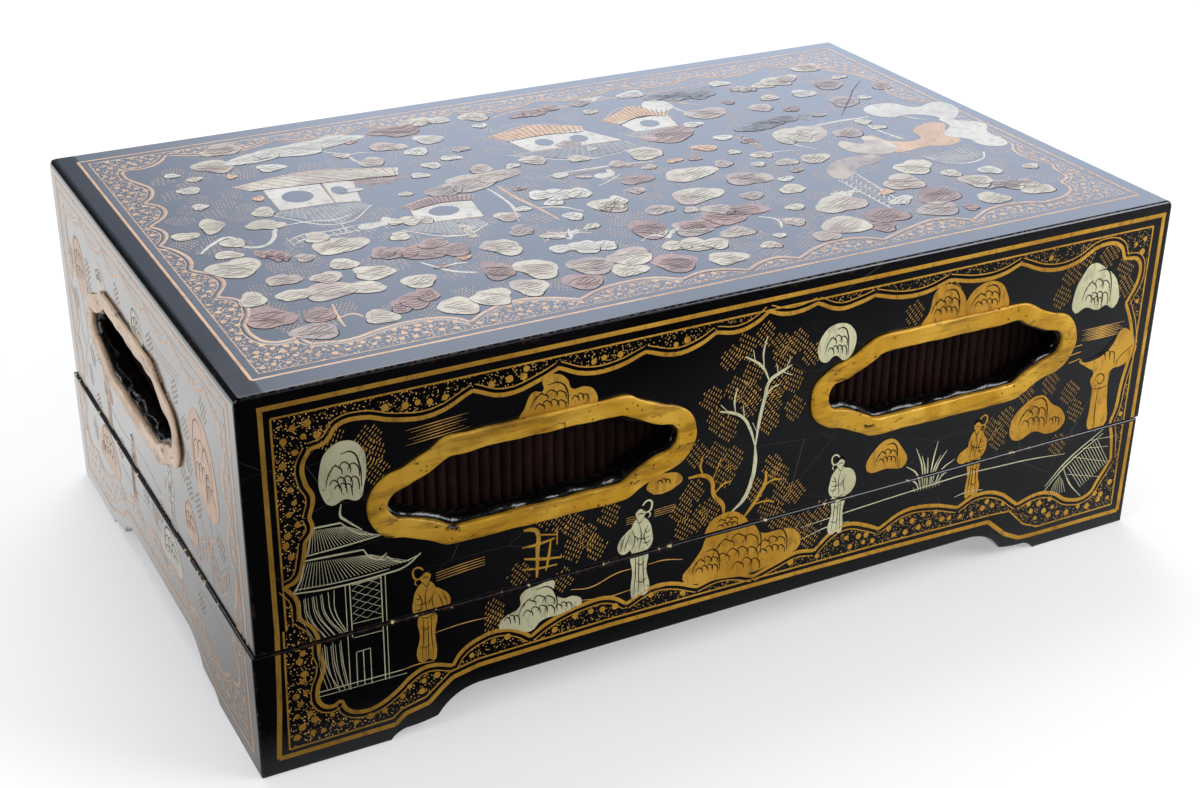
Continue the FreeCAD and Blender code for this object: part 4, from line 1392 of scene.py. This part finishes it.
# The trees' crowns: paint, middle, length and depth.
crowns = [
    ("top_white", 98, 215, 62, 17), ("top_cream", 163, 225, 24, 11), ("top_cream", 60, 67, 38, 15),
    ("top_brown", 105, 86, 33, 17), ("top_white", 161, 63, 25, 13), ("top_brown", 84, 46, 20, 17),
    ("top_white", 178, 117, 25, 15), ("top_mauve", 151, 145, 42, 19), ("top_brown", 52, 108, 11, 14),
    ("top_cream", 192, 98, 15, 13), ("top_cream", 201, 46, 24, 15), ("top_brown", 226, 66, 40, 15),
    ("top_cream", 305, 135, 22, 18), ("top_grey", 302, 155, 34, 14), ("top_grey", 286, 207, 34, 16),
    ("top_mauve", 352, 45, 24, 13), ("top_cream", 338, 205, 26, 14), ("top_brown", 214, 215, 26, 10),
    ("top_mauve", 318, 202, 12, 10), ("top_cream", 112, 117, 18, 10)]
for paint, spots in top_leaves.items():
    for seed, (across, up, long, deep) in enumerate(spots):
        leaf(top, paint, across, up, long * 1.2, deep * 1.2, seed)
for seed, (paint, *spot) in enumerate(crowns):
    canopy(top, paint, *spot, seed)

# Garden houses: pale walls with dark round windows, roofs with ribs, and hatched terraces. Each
# has its roof's paint and outline, its walls, its windows, its terrace, and the terrace's tip.
houses = [
    ("top_cream", [(60.4, 182.8), (94.3, 187.1), (130.4, 174.8), (126.7, 166.2), (115, 168.4),
                   (66.3, 175.1)],
     [[(70.7, 174), (94, 173.2), (91.9, 148.9), (69.6, 150)],
      [(95.5, 174.2), (107.4, 168.3), (102.1, 145.5), (92.6, 148.9)]],
     [(81, 161.5, 6.4, 6.6), (98.6, 160.5, 3.2, 4.8)],
     [(64.9, 146), (69.6, 149), (102.1, 144.5), (104.3, 139.5), (86.5, 125.9)], (84.9, 116)),
    ("top_brown", [(114, 132), (131, 137), (146, 131.6), (143, 126.6), (130, 129.4), (117, 126.6)],
     [[(116.7, 129.2), (142.8, 129.6), (139.8, 109), (113.6, 113.3)]], [(128, 121, 6.4, 5)],
     [(104.6, 109.3), (113.6, 113), (136.4, 108.1), (137.9, 100.8), (124.1, 94)], (117.1, 98)),
    ("top_peach", [(180.7, 193.2), (205.6, 199.2), (224.6, 187.9), (222, 181), (204, 184.6),
                   (186, 184)],
     [[(186, 186), (222, 184), (232, 164), (190, 168)]], [(200, 176, 4, 4.6), (216, 174, 4, 4.6)],
     [(178.3, 168.5), (190, 168), (233.8, 162), (236, 152), (204, 150)], (212, 148)),
    ("top_peach", [(236, 190), (256.1, 203.2), (271.3, 190.5), (266, 183.6), (255.6, 187.9),
                   (241, 182)],
     [[(241, 186), (267, 186), (264, 170), (243, 171)]], [(254, 178, 4.4, 4.6)],
     [(235.8, 168.4), (243, 171), (266, 170), (268, 162), (252, 158)], (252, 156)),
]
for paint, roof, walls, holes, terrace, tip in houses:
    for wall in walls:
        top.fill("top_white", wall, True)
        for start, end in zip(wall, wall[1:] + wall[:1]):
            top.stroke("top_peach", 0.5, [start, end], 0.9)
    top.fill(paint, roof, True)
    eaves = [roof[5], roof[4], roof[3]]
    for step in range(16):
        part = (step + 0.5) / 16
        top.stroke("top_ink", 0.3, [tuple(part_way(roof[:3], part)), tuple(part_way(eaves, part))], 0.8)
    top.stroke("top_peach", 0.8, roof[:3], 0.8)
    top.stroke("top_ink", 0.8, eaves, 0.8)
    for across, up, wide, high in holes:
        top.fill("top_hole", [(across + wide * math.cos(turn * math.pi / 5),
                              up + high * math.sin(turn * math.pi / 5)) for turn in range(10)])
    top.fill("top_grey", terrace, True)
    rim = [terrace[0], terrace[4], terrace[3]]
    for step in range(18):
        part = (step + 0.5) / 18
        top.stroke("top_white", 0.34, [
            tuple(part_way(terrace[1:3], part)), tuple(part_way(rim, part))], 0.8)
    top.stroke("top_white", 0.9, rim, 0.7)
    top.stroke("top_white", 1.2, [terrace[4], tip], 0.5)

# The right-hand garden: two clouds, a hanging cloth, roofs and a wall, and a grey terrace.
garden = [
    ("top_white", [(352, 151), (369, 154), (376, 144), (390, 146), (394, 138), (388, 127), (379, 123),
                   (376, 130), (366, 137), (357, 137)]),
    ("top_white", [(377, 126), (383, 120), (391, 112), (385, 101), (384, 86), (378, 84), (372, 89),
                   (371, 98), (365, 106), (375, 116)]),
    ("top_peach", [(334, 121), (338, 111), (352, 107), (356, 118), (374, 121), (369, 111), (368, 99),
                   (362, 95), (347, 98), (332, 98), (331, 110)]),
    ("top_cream", [(318, 120), (317, 103), (334, 100), (334, 118), (331, 121), (325, 113)]),
    ("top_grey", [(340, 89), (356, 93), (366, 93), (366, 81), (360, 74), (344, 76)]),
    ("top_mauve", [(298, 98), (305, 101), (313, 101), (323, 97), (318, 91), (306, 89), (299, 82),
                   (291, 81), (290, 88)]),
    ("top_cream", [(295, 140), (313, 144), (321, 140), (310, 125), (299, 129)]),
    ("top_white", [(267, 206), (276, 200), (271, 190), (264, 191)])]
for paint, points in garden:
    top.fill(paint, points)
for step in range(9):
    top.stroke("top_white", 0.5, [(342 + step * 2.6, 88 + step * 0.4), (346 + step * 1.8, 76.6)], 0.8)
top.stroke("top_white", 1.2, [(340, 89), (345, 76), (360, 74), (367, 81)], 0.8)
top.stroke("top_white", 1.7, [(342, 135), (342, 124), (345, 110)], 0.8)
top.stroke("top_white", 1.9, [(317, 142), (335, 143), (349, 142)], 0.7)

# Small leaves wherever the ground between the others is still bare.
taken = [(across, up, max(long, deep) * 0.55) for spots in top_leaves.values()
         for across, up, long, deep in spots]
for _, across, up, long, deep in crowns:
    for part in (-0.3, 0, 0.3):
        taken.append((across + long * part, up, deep * 0.5))
for _, roof, walls, _, terrace, _ in houses:
    for across, up in roof + walls[0] + terrace:
        taken.append((across, up, 8))
for _, points in garden:
    for across, up in points:
        taken.append((across, up, 6))
filler = random.Random(21)
for row in range(20):
    for column in range(34):
        across = 30 + column * 10.4 + filler.uniform(-3, 3)
        up = 30 + row * 9.8 + filler.uniform(-3, 3)
        long = filler.uniform(6, 12)
        free = all(math.hypot(across - x, up - y) > room + long * 0.5 + 1.2 for x, y, room in taken)
        if free and inside((across, up), top_inner) and clearance((across, up), top_inner) > 6.5:
            paint = filler.choice(("top_cream", "top_brown", "top_mauve", "top_cream", "top_white"))
            leaf(top, paint, across, up, long, long * filler.uniform(0.6, 0.95), row * 40 + column)
            taken.append((across, up, long * 0.5))

# Trunks, bridges, fences, paths and small figures between the houses.
top.strokes_in("top_white", (
    (1.5, [(108, 208), (116, 198), (118, 188), (126, 182)]),
    (1.0, [(116, 198), (122, 199), (128, 196)]),
    (1.8, [(28, 121), (36, 129), (42.8, 132), (44, 122), (50.9, 117.7), (58, 124), (60.3, 130),
        (64, 136)]), (1.0, [(64, 133.9), (76, 134), (85.2, 131.2), (94, 134)]),
    (0.9, [(60.9, 117.7), (69.1, 122.1), (80, 121), (94.2, 122.3)]),
    (0.9, [(62, 114), (70, 118), (82, 116.4), (92, 117)]),
    (1.4, [(153.8, 136), (155, 122), (154.3, 111.7), (150, 97.8)]),
    (1.2, [(162, 107.9), (172, 104), (178, 96)]),
    (1.5, [(99.1, 77.1), (103, 69.6), (107.7, 63), (114.3, 59)]),
    (1.2, [(104, 68), (110, 70), (115, 69.1)]), (1.6, [(186, 139), (200, 138), (216, 137), (232, 134)]),
    (1.4, [(268, 203), (274, 196), (276, 186), (282, 178)]),
    (1.2, [(274, 194), (268, 190), (264, 191)]), (1.3, [(296, 133), (298, 124), (303, 116)]),
    (1.1, [(270, 118), (284, 121), (296, 118)]), (1.3, [(363, 140), (366, 132), (371, 126)]),
    (1.0, [(196, 118), (204, 122), (212, 127)]), (1.3, [(238, 60), (243, 54), (240, 46)]),
    (1.0, [(243, 54), (248, 52), (249, 47)])), 0.5)
top.strokes_in("top_peach", (
    (1.4, [(159, 137), (160, 122), (163, 107.9), (165.2, 92)]),
    (1.3, [(56.3, 56), (54.4, 46), (53.5, 36)]), (1.2, [(54.4, 44), (60, 45), (62.4, 41)]),
    (1.3, [(276, 205), (282, 196), (288, 190)]),
    (1.0, [(188.1, 213.9), (207.1, 220), (230, 216), (251.7, 217.3), (284, 216), (316, 219)])), 0.5)
top.stroke("top_brown", 1.8, [(188, 135), (204, 134.6), (220, 133), (231, 131)], 0.5)
for x in range(62, 92, 3):
    top.stroke("top_white", 0.5, [(x, 121.6), (x + 0.6, 114.6)], 0.8)
for start, end in (((290, 80), (291, 44)), ((301, 83), (299, 44))):
    top.stroke("top_white", 0.9, [start, end], 0.9)
for step in range(11):
    for across in (290.6, 295.4):
        low = 45 + step * 3.3
        top.stroke("top_white", 0.6, [(across, low), (across + 2.4, low + 2.6), (across + 4.8, low)], 0.8)
for across, up, long in ((98, 118, 15), (205, 127, 10)):
    top.fill("top_white", [(across + long * along, up + rise) for along, rise in (
        (-0.5, 0), (-0.3, 4), (0.2, 3.6), (0.36, 7), (0.5, 6.4), (0.42, 1), (0.1, -1.4))])
    for leg in (-0.36, -0.2, 0.16, 0.3):
        top.stroke("top_white", 1.0, [(across + long * leg, up), (across + long * leg + 0.6, up - 5)])
for across, up in ((282, 128), (128, 90)):
    lady(top, "top_cream", across, up, 17)


def coral(painting, paint, across, up, size, seed):
    """A low bush of branching strokes with round tips."""
    dice = random.Random(seed)
    for step in range(9):
        turn = math.pi * (0.08 + 0.84 * step / 8)
        reach = size * dice.uniform(0.75, 1.1)
        tip = (across + reach * math.cos(turn) * 1.2, up + reach * math.sin(turn))
        bend = (across + reach * 0.5 * math.cos(turn) + dice.uniform(-1, 1), up + reach * 0.55)
        painting.stroke(paint, 0.9, [(across, up), bend, tip], 0.6)
        for hand in (-1, 1):
            painting.stroke(paint, 0.8, [bend, (bend[0] + hand * 2.2, bend[1] + 2)], 0.8)


for seed, (paint, across, up, size) in enumerate((
        ("top_white", 160, 72, 11), ("top_white", 195, 56, 9), ("top_white", 284, 62, 8),
        ("top_brown", 113, 160, 12), ("top_brown", 120, 158, 9), ("top_white", 246, 216, 8),
        ("top_grey", 295, 204, 13), ("top_grey", 304, 152, 12), ("top_grey", 322, 150, 11)), 1):
    coral(top, paint, across, up, size, seed)

# Water and grass between the leaves: small patches of short dashes, and one long crack.
water = random.Random(3)
for row in range(23):
    for column in range(27):
        across = 24 + column * 13.4 + (row % 2) * 6.4 + water.uniform(-2, 2)
        up = 26 + row * 8.8 + water.uniform(-1.5, 1.5)
        painted = water.random() >= 0.45
        if painted and inside((across, up), top_inner) and clearance((across, up), top_inner) > 4:
            hatch(top, "top_ochre", across, up, row * 40 + column, 5.2, 4.4, 1.45, 0.75, 1.3)
top.stroke("top_ink", 0.4, [(376.3, 188.3), (364, 177), (355.2, 166.8), (346, 157), (338.6, 149)])

top.dry([("cover", facing((1, 0, 0), (0, 1, 0),
                          (base_x - side_x, front_y, case_height - paint_room)), None, None)])

# ---------------------------------------------------------------------------
# End paintings: the same border, gold and silver on both ends, round one window each. They are
# drawn from the front corner backwards and from the ground up.

paint_levels.update({
    "end_speckle": 0.02, "end_gold": 0.055, "end_dull": 0.0445, "end_silver": 0.0595, "end_line": 0.10})
# The ends' paints and black line are paler copies of the front's: painted sheen on the ends.
paints.update({
    "end_speckle": speckled_band("end_speckle", "c9a27c", "9c7c62", 800, 0.3),
    "end_gold": powder_paint("end_gold", "d2a884", "bd9270", "8f6c50", 0.1, 0.42),
    "end_dull": powder_paint("end_dull_gold", "c9a98c", "b5977c", "8d745e", 0.1, 0.45),
    "end_silver": powder_paint("end_silver", "d0c8ba", "b9b1a4", "8a8378", 0.05, 0.42),
    "end_line": dark_line("end_line_lacquer", "4a4440", "6e645c", 0),
})

end_cover_lobes = lobed(
    [(19, 46), (17.6, 53)], [(20, 60), (16.5, 68)], [(15, 76.5), (20, 84), (19.6, 93)], [(15.5, 100),
    (20.6, 108), (20, 117)], [(16, 124), (20, 129), (19, 134), (24.4, 135)], [(35.3, 140.5), (45, 136),
    (55.5, 136.6), (66, 138.6)], [(75.7, 141.4), (83, 138), (92, 137), (100, 137.6)], [(107, 141),
    (116, 138), (127, 138.4)], [(140, 141.4), (150.3, 137.4), (160, 136.6)], [(167.9, 141),
    (178.5, 136.8), (193, 136.6)], [(203, 140.6), (213, 136.6), (223, 137), (229.6, 132)],
    [(230.4, 126), (227, 118), (229, 109)], [(234, 102), (229, 94), (229, 85)], [(233.6, 78),
    (229.6, 71), (230, 62)], [(234, 54), (230.6, 49)], [(230, 45)])
end_base_lobes = lobed(
    [(19, 54), (21.4, 46), (17.6, 38), (18.6, 30), (24, 26.6)], [(30, 27.4), (36, 22.6), (44, 22),
    (52, 25), (60, 29), (70, 30)], [(79, 27.6), (88, 33), (98, 33.6)], [(107, 29.4), (117, 34),
    (129, 34)], [(139, 29.6), (149, 34), (161, 33.6)], [(170, 28.4), (180, 31), (190, 28), (199, 23.6),
    (208, 22.6)], [(217, 27.4), (225, 26), (230.6, 30), (232, 38), (229, 46)], [(231, 54)])
end_cover_edge = [(12, 40), (12, 143.4), (238, 143.4), (238, 40)]
end_base_edge = [(238, 60), (239, 10.4), (201, 10.4), (192, 14), (183, 21), (172, 23.6), (78, 23.6),
                 (67, 21), (58, 14), (50, 10.4), (11.4, 10), (12, 60)]
foot_corners = [(7.6, 7), (51.4, 7), (58.4, 10.6), (67.4, 12.6), (78, 20.4), (87, 21)]


def both_sides(points, length):
    """A line drawn from one corner of a wall to its middle, and the same from the other corner."""
    return points + [(length - across, up) for across, up in points[::-1]]


def paint_end(name, mirror):
    """One end's painting; both ends are drawn alike, with the front corner on the other hand."""
    window_place = ((end_window_y - front_y) / MM, window_level / MM)
    end = Painting(name, mirror, (window_place,), "end_line")
    bands = (end_cover_edge + rounded(end_cover_lobes)[::-1], end_base_edge + rounded(end_base_lobes))
    for band in bands:
        end.fill("end_speckle", band, True)
    end.strokes_in("end_gold", (
        (2.0, [(8.4, 60), (8.4, 147.2)]), (2.0, [(7.4, 147.2), (242.6, 147.2)]),
        (2.0, [(241.6, 147.2), (241.6, 60)]), (0.7, [(12, 60), (12, 143.4)]),
        (0.7, [(12, 143.4), (238, 143.4)]), (0.7, [(238, 143.4), (238, 60)])), 1)
    end.ruled("end_gold", 1.8, both_sides([(8.4, 60), *foot_corners], case_width / MM))
    end.ruled("end_gold", 0.7, end_base_edge)
    scallops(end, "end_gold", end_cover_lobes, 1)
    scallops(end, "end_gold", end_base_lobes, -1)
    for seed, band in enumerate(bands, 11):
        sprinkle(end, "end_gold", band, None, 2.8, 6.4, 2.2, seed)

    # Gold and silver crowns, rocks and clouds round the window.
    for paint, points, arch_rows in (
            ("end_silver", [(116, 122), (115, 129), (120, 133.6), (127, 133.4), (131.6, 128.6),
             (131, 121.6)], [(123, 123, 5.6, 8, 3)]),
            ("end_gold", [(205, 106), (203.6, 118), (207, 127), (213, 130.6), (220, 128), (223, 118),
             (221, 107), (213, 104)], [(213, 110, 6, 15, 4)]),
            ("end_gold", [(31, 90), (30, 106), (34, 118), (42, 125.6), (52, 126), (58.6, 119),
             (59, 106), (55, 95), (46, 88)], [(45, 96, 9, 20, 4), (38, 93, 4, 8, 2)]),
            ("end_silver", [(170, 123), (172, 129), (178, 132), (184, 129), (186, 123)],
             [(178, 124, 4.6, 5.4, 3)]),
            ("end_silver", [(86, 36), (88, 45), (95, 50), (103, 49), (111, 43), (115, 36), (100, 35)],
             [(99, 38, 8, 9, 4)]),
            ("end_gold", [(176, 34), (178, 44), (186, 50), (196, 50.4), (205, 43), (209, 33),
             (196, 31)], [(191, 36, 9, 11, 4), (201, 34, 4, 6, 2)]),
            ("end_gold", [(62, 64), (64, 74), (70, 78.6), (76, 75), (78, 66), (71, 62)],
             [(70, 65, 5, 9, 3)])):
        mound(end, paint, points, arch_rows)

    # Two ladies, a tree on the rock, and bamboo behind them.
    lady(end, "end_silver", 96, 47, 38)
    lady(end, "end_gold", 188, 49, 34, -1)
    lady(end, "end_gold", 152, 36, 32, 1, False)
    end.strokes_in("end_silver", (
        (1.4, [(226, 60), (221, 74), (214, 84), (213, 96), (216, 106)]),
        (1.0, [(214, 84), (207, 88), (203, 95)]), (1.0, [(219, 77), (224, 86), (222, 94)]),
        (0.5, [(30, 43), (52, 46), (70, 44), (86, 41)]),
        (0.5, [(114, 42), (134, 44), (150, 42), (172, 44)]),
        (0.5, [(112, 60), (140, 64), (168, 61), (184, 64)])))
    end.strokes_in("end_gold", (
        (1.5, [(44, 56), (46, 68), (42, 78), (44, 90)]), (1.0, [(45, 70), (52, 75), (55, 82)]),
        (1.0, [(43, 76), (36, 80), (33, 86)])))
    end.strokes_in("end_dull", (
        (0.5, [(66, 132), (86, 131), (104, 132)]), (0.5, [(66, 130), (86, 129), (104, 130)]),
        (0.5, [(68, 128), (86, 127), (102, 128)])))

    # A zigzag garden fence with its posts and rails.
    posts = [(24, 66), (34, 58), (47, 66), (60, 58), (74, 60)]
    for start, finish in zip(posts, posts[1:]):
        for rise in (0, 4, 8):
            end.stroke("end_gold", 0.6, [(start[0], start[1] + rise), (finish[0], finish[1] + rise)], 0.9)
        for step in range(3):
            spot = Vector(start).lerp(finish, step / 3)
            end.stroke("end_gold", 0.7, [tuple(spot), (spot.x, spot.y + 10)], 0.9)
    for seed, (across, up) in enumerate((
            (38, 131), (64, 112), (64, 98), (74, 122), (84, 112), (198, 122), (198, 112), (226, 98),
            (208, 78), (200, 90), (196, 84), (226, 116), (112, 52), (120, 48), (74, 90), (66, 86),
            (56, 84), (30, 80), (170, 52), (206, 56), (60, 40), (214, 40), (132, 50), (216, 66),
            (150, 130), (104, 128), (96, 120)), 100):
        hatch(end, "end_dull", across, up, seed, 4.4, 3.8, 1.3, 0.45)
    return end


for hand, side in (("left_end", -1), ("right_end", 1)):
    paint_end(hand, side < 0).dry([
        ("cover", facing((0, side, 0), (0, 0, 1), (side * side_x, front_y, 0)), seam_top, None),
        ("base", facing((0, side, 0), (0, 0, 1), (base_x + side * side_x, front_y, 0)),
         None, seam_bottom)])

# ---------------------------------------------------------------------------
# Back and drawer fronts: seen only with the case turned round, so they get plain gold lines,
# a scalloped band on the base, and a small spray of leaves on each drawer.

back = Painting("back")
bows = [[(78 + step * 30.5, 27), (87 + step * 30.5, 33), (99 + step * 30.5, 33)] for step in range(8)]
back_lobes = lobed(
    [(24, 46), (20.4, 38), (22, 28)], [(30, 25), (40, 20), (54, 22), (66, 28)], *bows,
    [(322, 27), (334, 28), (346, 22), (360, 20)], [(370, 25), (378, 28), (379.6, 38)], [(376, 46)])
back_length = case_length / MM
back_edge = both_sides([(12, 46), (12, 10.4), (50, 10.4), (58, 14), (67, 21), (78, 23.6)], back_length)
back_band = back_edge[::-1] + rounded(back_lobes)
back.fill("speckle", back_band, True)
back.ruled("gold", 1.8, both_sides([(8.4, 48), *foot_corners], back_length))
back.ruled("gold", 0.7, back_edge)
back.ruled("gold", 1.2, [(8.4, 47.6), (391.6, 47.6)])
scallops(back, "gold", back_lobes, -1)
sprinkle(back, "gold", back_band, None, 2.8, 6.4, 2.2, 14)
for step in range(5):
    for hand in (-1, 1):
        leaf(back, "silver", 200 + hand * (12 + step * 22), 40 + step % 2 * 2, 8, 4, step)
        back.stroke("gold", 0.8, [(200 + hand * (reach + step * 22), up)
                                  for reach, up in ((4, 39), (11, 42), (20, 38))])
for width, across in ((1.2, 4.4), (0.5, 6.6), (1.2, 395.6), (0.5, 393.4)):
    back.ruled("gold", width, [(across, 57), (across, 148)])
back.dry([
    ("cover", facing((-1, 0, 0), (0, 0, 1), (side_x, back_y - paint_room, 0)), seam_top, None),
    ("base", facing((-1, 0, 0), (0, 0, 1), (base_x + side_x, back_y - paint_room, 0)),
     None, seam_bottom)])

drawer_low, drawer_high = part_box("drawer_1_front")
drawer_long = (drawer_high.x - drawer_low.x) / MM
drawer_tall = (drawer_high.z - drawer_low.z) / MM
spray = Painting("drawer")
for width, inset in ((1.1, 2.2), (0.45, 4.0)):
    corners = [(inset, inset), (drawer_long - inset, inset), (drawer_long - inset, drawer_tall - inset),
               (inset, drawer_tall - inset)]
    spray.ruled("gold", width, corners + corners[:1])
for hand in (-1, 1):
    middle = drawer_long / 2
    stem = [(middle + hand * reach, up) for reach, up in ((14, 8.6), (30, 13.6), (48, 11), (70, 15.6))]
    spray.stroke("gold", 0.9, stem, 0.4)
    for step in range(6):
        reach = 18 + step * 9.6
        up = 12.6 + math.sin(step * 1.4) * 2.2
        leaf(spray, "gold" if step % 2 else "silver", middle + hand * reach, up + (3 if step % 2 else -2.6),
             6.6, 3.4, step)
drawer_boards = []
for number in range(1, 7):
    low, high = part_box(f"drawer_{number}_front")
    drawer_boards.append((f"drawer_{number}", facing((-1, 0, 0), (0, 0, 1), (high.x, high.y, low.z)),
                          None, None))
spray.dry(drawer_boards)

# ---------------------------------------------------------------------------
# Studio: a plain white floor, a broad soft lamp over the back of the case, weaker ones at its
# left and near the right of its front, and a pale room all round.

bpy.ops.object.select_all(action="DESELECT")
bpy.ops.mesh.primitive_plane_add(size=20)
floor = bpy.context.object
floor.name = "studio_floor"
floor_material = bpy.data.materials.new("studio_floor_white")
floor_material.use_nodes = True
floor_tree = floor_material.node_tree
floor_tree.nodes.clear()


def ray_kinds(tree):
    """Whether a ray comes from the camera, from a mirroring surface, or through a clear one."""
    rays = new_node(tree, "ShaderNodeLightPath", {}, {}).socket.node.outputs
    return [Value(tree, rays[f"Is {kind} Ray"]) for kind in ("Camera", "Glossy", "Transmission")]


seen, mirrored, through = ray_kinds(floor_tree)
across, away, _ = new_node(floor_tree, "ShaderNodeTexCoord", {}, {}, "Object").parts()
far = (away * away + across * across).between(0.8, 6)
glow = (seen + through) * (far * 0.6 + 0.36)
# As the lacquer mirrors it, the floor beside the case brightens towards the back, and the
# floor before the case grows dark towards the left and further out.
beside = away.between(-0.07, 0.15) * 0.66 + 0.41
before = ((across + 0.11 - (-0.26 - away).higher(0) * 2) * 0.73).higher(0.01).lower(0.4)
behind_front = away.between(-0.15, -0.11)
sheen = beside * behind_front + before * (1 - behind_front)
floor_white = new_node(floor_tree, "ShaderNodeAddShader", {}, {
    0: new_node(floor_tree, "ShaderNodeBsdfDiffuse", {}, {"Color": (0.80, 0.80, 0.81, 1)}),
    1: new_node(floor_tree, "ShaderNodeEmission", {}, {
        "Color": (0.98, 0.98, 1.0, 1), "Strength": glow})})
floor_mirrored = new_node(floor_tree, "ShaderNodeEmission", {}, {
    "Color": (1.0, 0.99, 0.98, 1), "Strength": sheen})
new_node(floor_tree, "ShaderNodeOutputMaterial", {}, {
    "Surface": new_node(floor_tree, "ShaderNodeMixShader", {}, {
        0: mirrored, 1: floor_white, 2: floor_mirrored})})
floor.data.materials.append(floor_material)

world = bpy.data.worlds.new("pale_room")
bpy.context.scene.world = world
world.use_nodes = True
room_tree = world.node_tree
room_tree.nodes.clear()
seen, mirrored, through = ray_kinds(room_tree)
rightward, behind, upward = new_node(room_tree, "ShaderNodeTexCoord", {}, {}).parts()
# As the lacquer mirrors it, the room is bright at the right, faint in the middle and dark at the
# left, and fainter high up and before the case.
wall = rightward.between(0.12, 0.32) * 1.4 + rightward.between(-0.3, -0.05) * 0.38 + 0.04
wall = wall * (1 - upward.between(0.42, 0.62) * 0.88)
wall = wall * (behind.between(0, 0.4) * 0.75 + 0.25)
room = new_node(room_tree, "ShaderNodeBackground", {}, {
    "Color": (0.96, 0.98, 1.0, 1), "Strength": 0.42 + seen * 0.58 + through * 0.58})
bright_wall = new_node(room_tree, "ShaderNodeBackground", {}, {
    "Color": (0.72, 0.81, 1.0, 1), "Strength": wall})
new_node(room_tree, "ShaderNodeOutputWorld", {}, {
    "Surface": new_node(room_tree, "ShaderNodeMixShader", {}, {
        0: mirrored, 1: room, 2: bright_wall})})


def soft_lamp(name, place, size, watts):
    """A square soft lamp turned towards the middle of the case."""
    bpy.ops.object.select_all(action="DESELECT")
    bpy.ops.object.light_add(type="AREA", location=place)
    lamp = bpy.context.object
    lamp.name = name
    lamp.data.size = size
    lamp.data.energy = watts
    case_middle = Vector((0, 0, 100 * MM))
    lamp.rotation_euler = (case_middle - Vector(place)).to_track_quat("-Z", "Y").to_euler()


soft_lamp("back_soft_lamp", (0.2, 1.3, 1.9), 1.6, 22)
soft_lamp("left_soft_lamp", (-1.8, -0.2, 1.1), 1.2, 8)
soft_lamp("front_soft_lamp", (0.75, -0.75, 0.6), 0.6, 5.2)

camera_place = (-349.4 * MM, -654.0 * MM, 432.5 * MM)
camera_turn = math.radians(28.131)
camera_dip = math.radians(27.145)
camera_roll = math.radians(0.728)
forward = Vector((math.sin(camera_turn) * math.cos(camera_dip),
                  math.cos(camera_turn) * math.cos(camera_dip), -math.sin(camera_dip)))
level_right = forward.cross(Vector((0, 0, 1))).normalized()
level_up = level_right.cross(forward)
camera_right = math.cos(camera_roll) * level_right + math.sin(camera_roll) * level_up
camera_up = math.cos(camera_roll) * level_up - math.sin(camera_roll) * level_right
bpy.ops.object.select_all(action="DESELECT")
bpy.ops.object.camera_add()
camera = bpy.context.object
camera.matrix_world = facing(camera_right, camera_up, camera_place)
camera.data.sensor_width = 36
camera.data.lens = 56.57
bpy.context.scene.camera = camera
bpy.context.scene.view_settings.view_transform = "Standard"
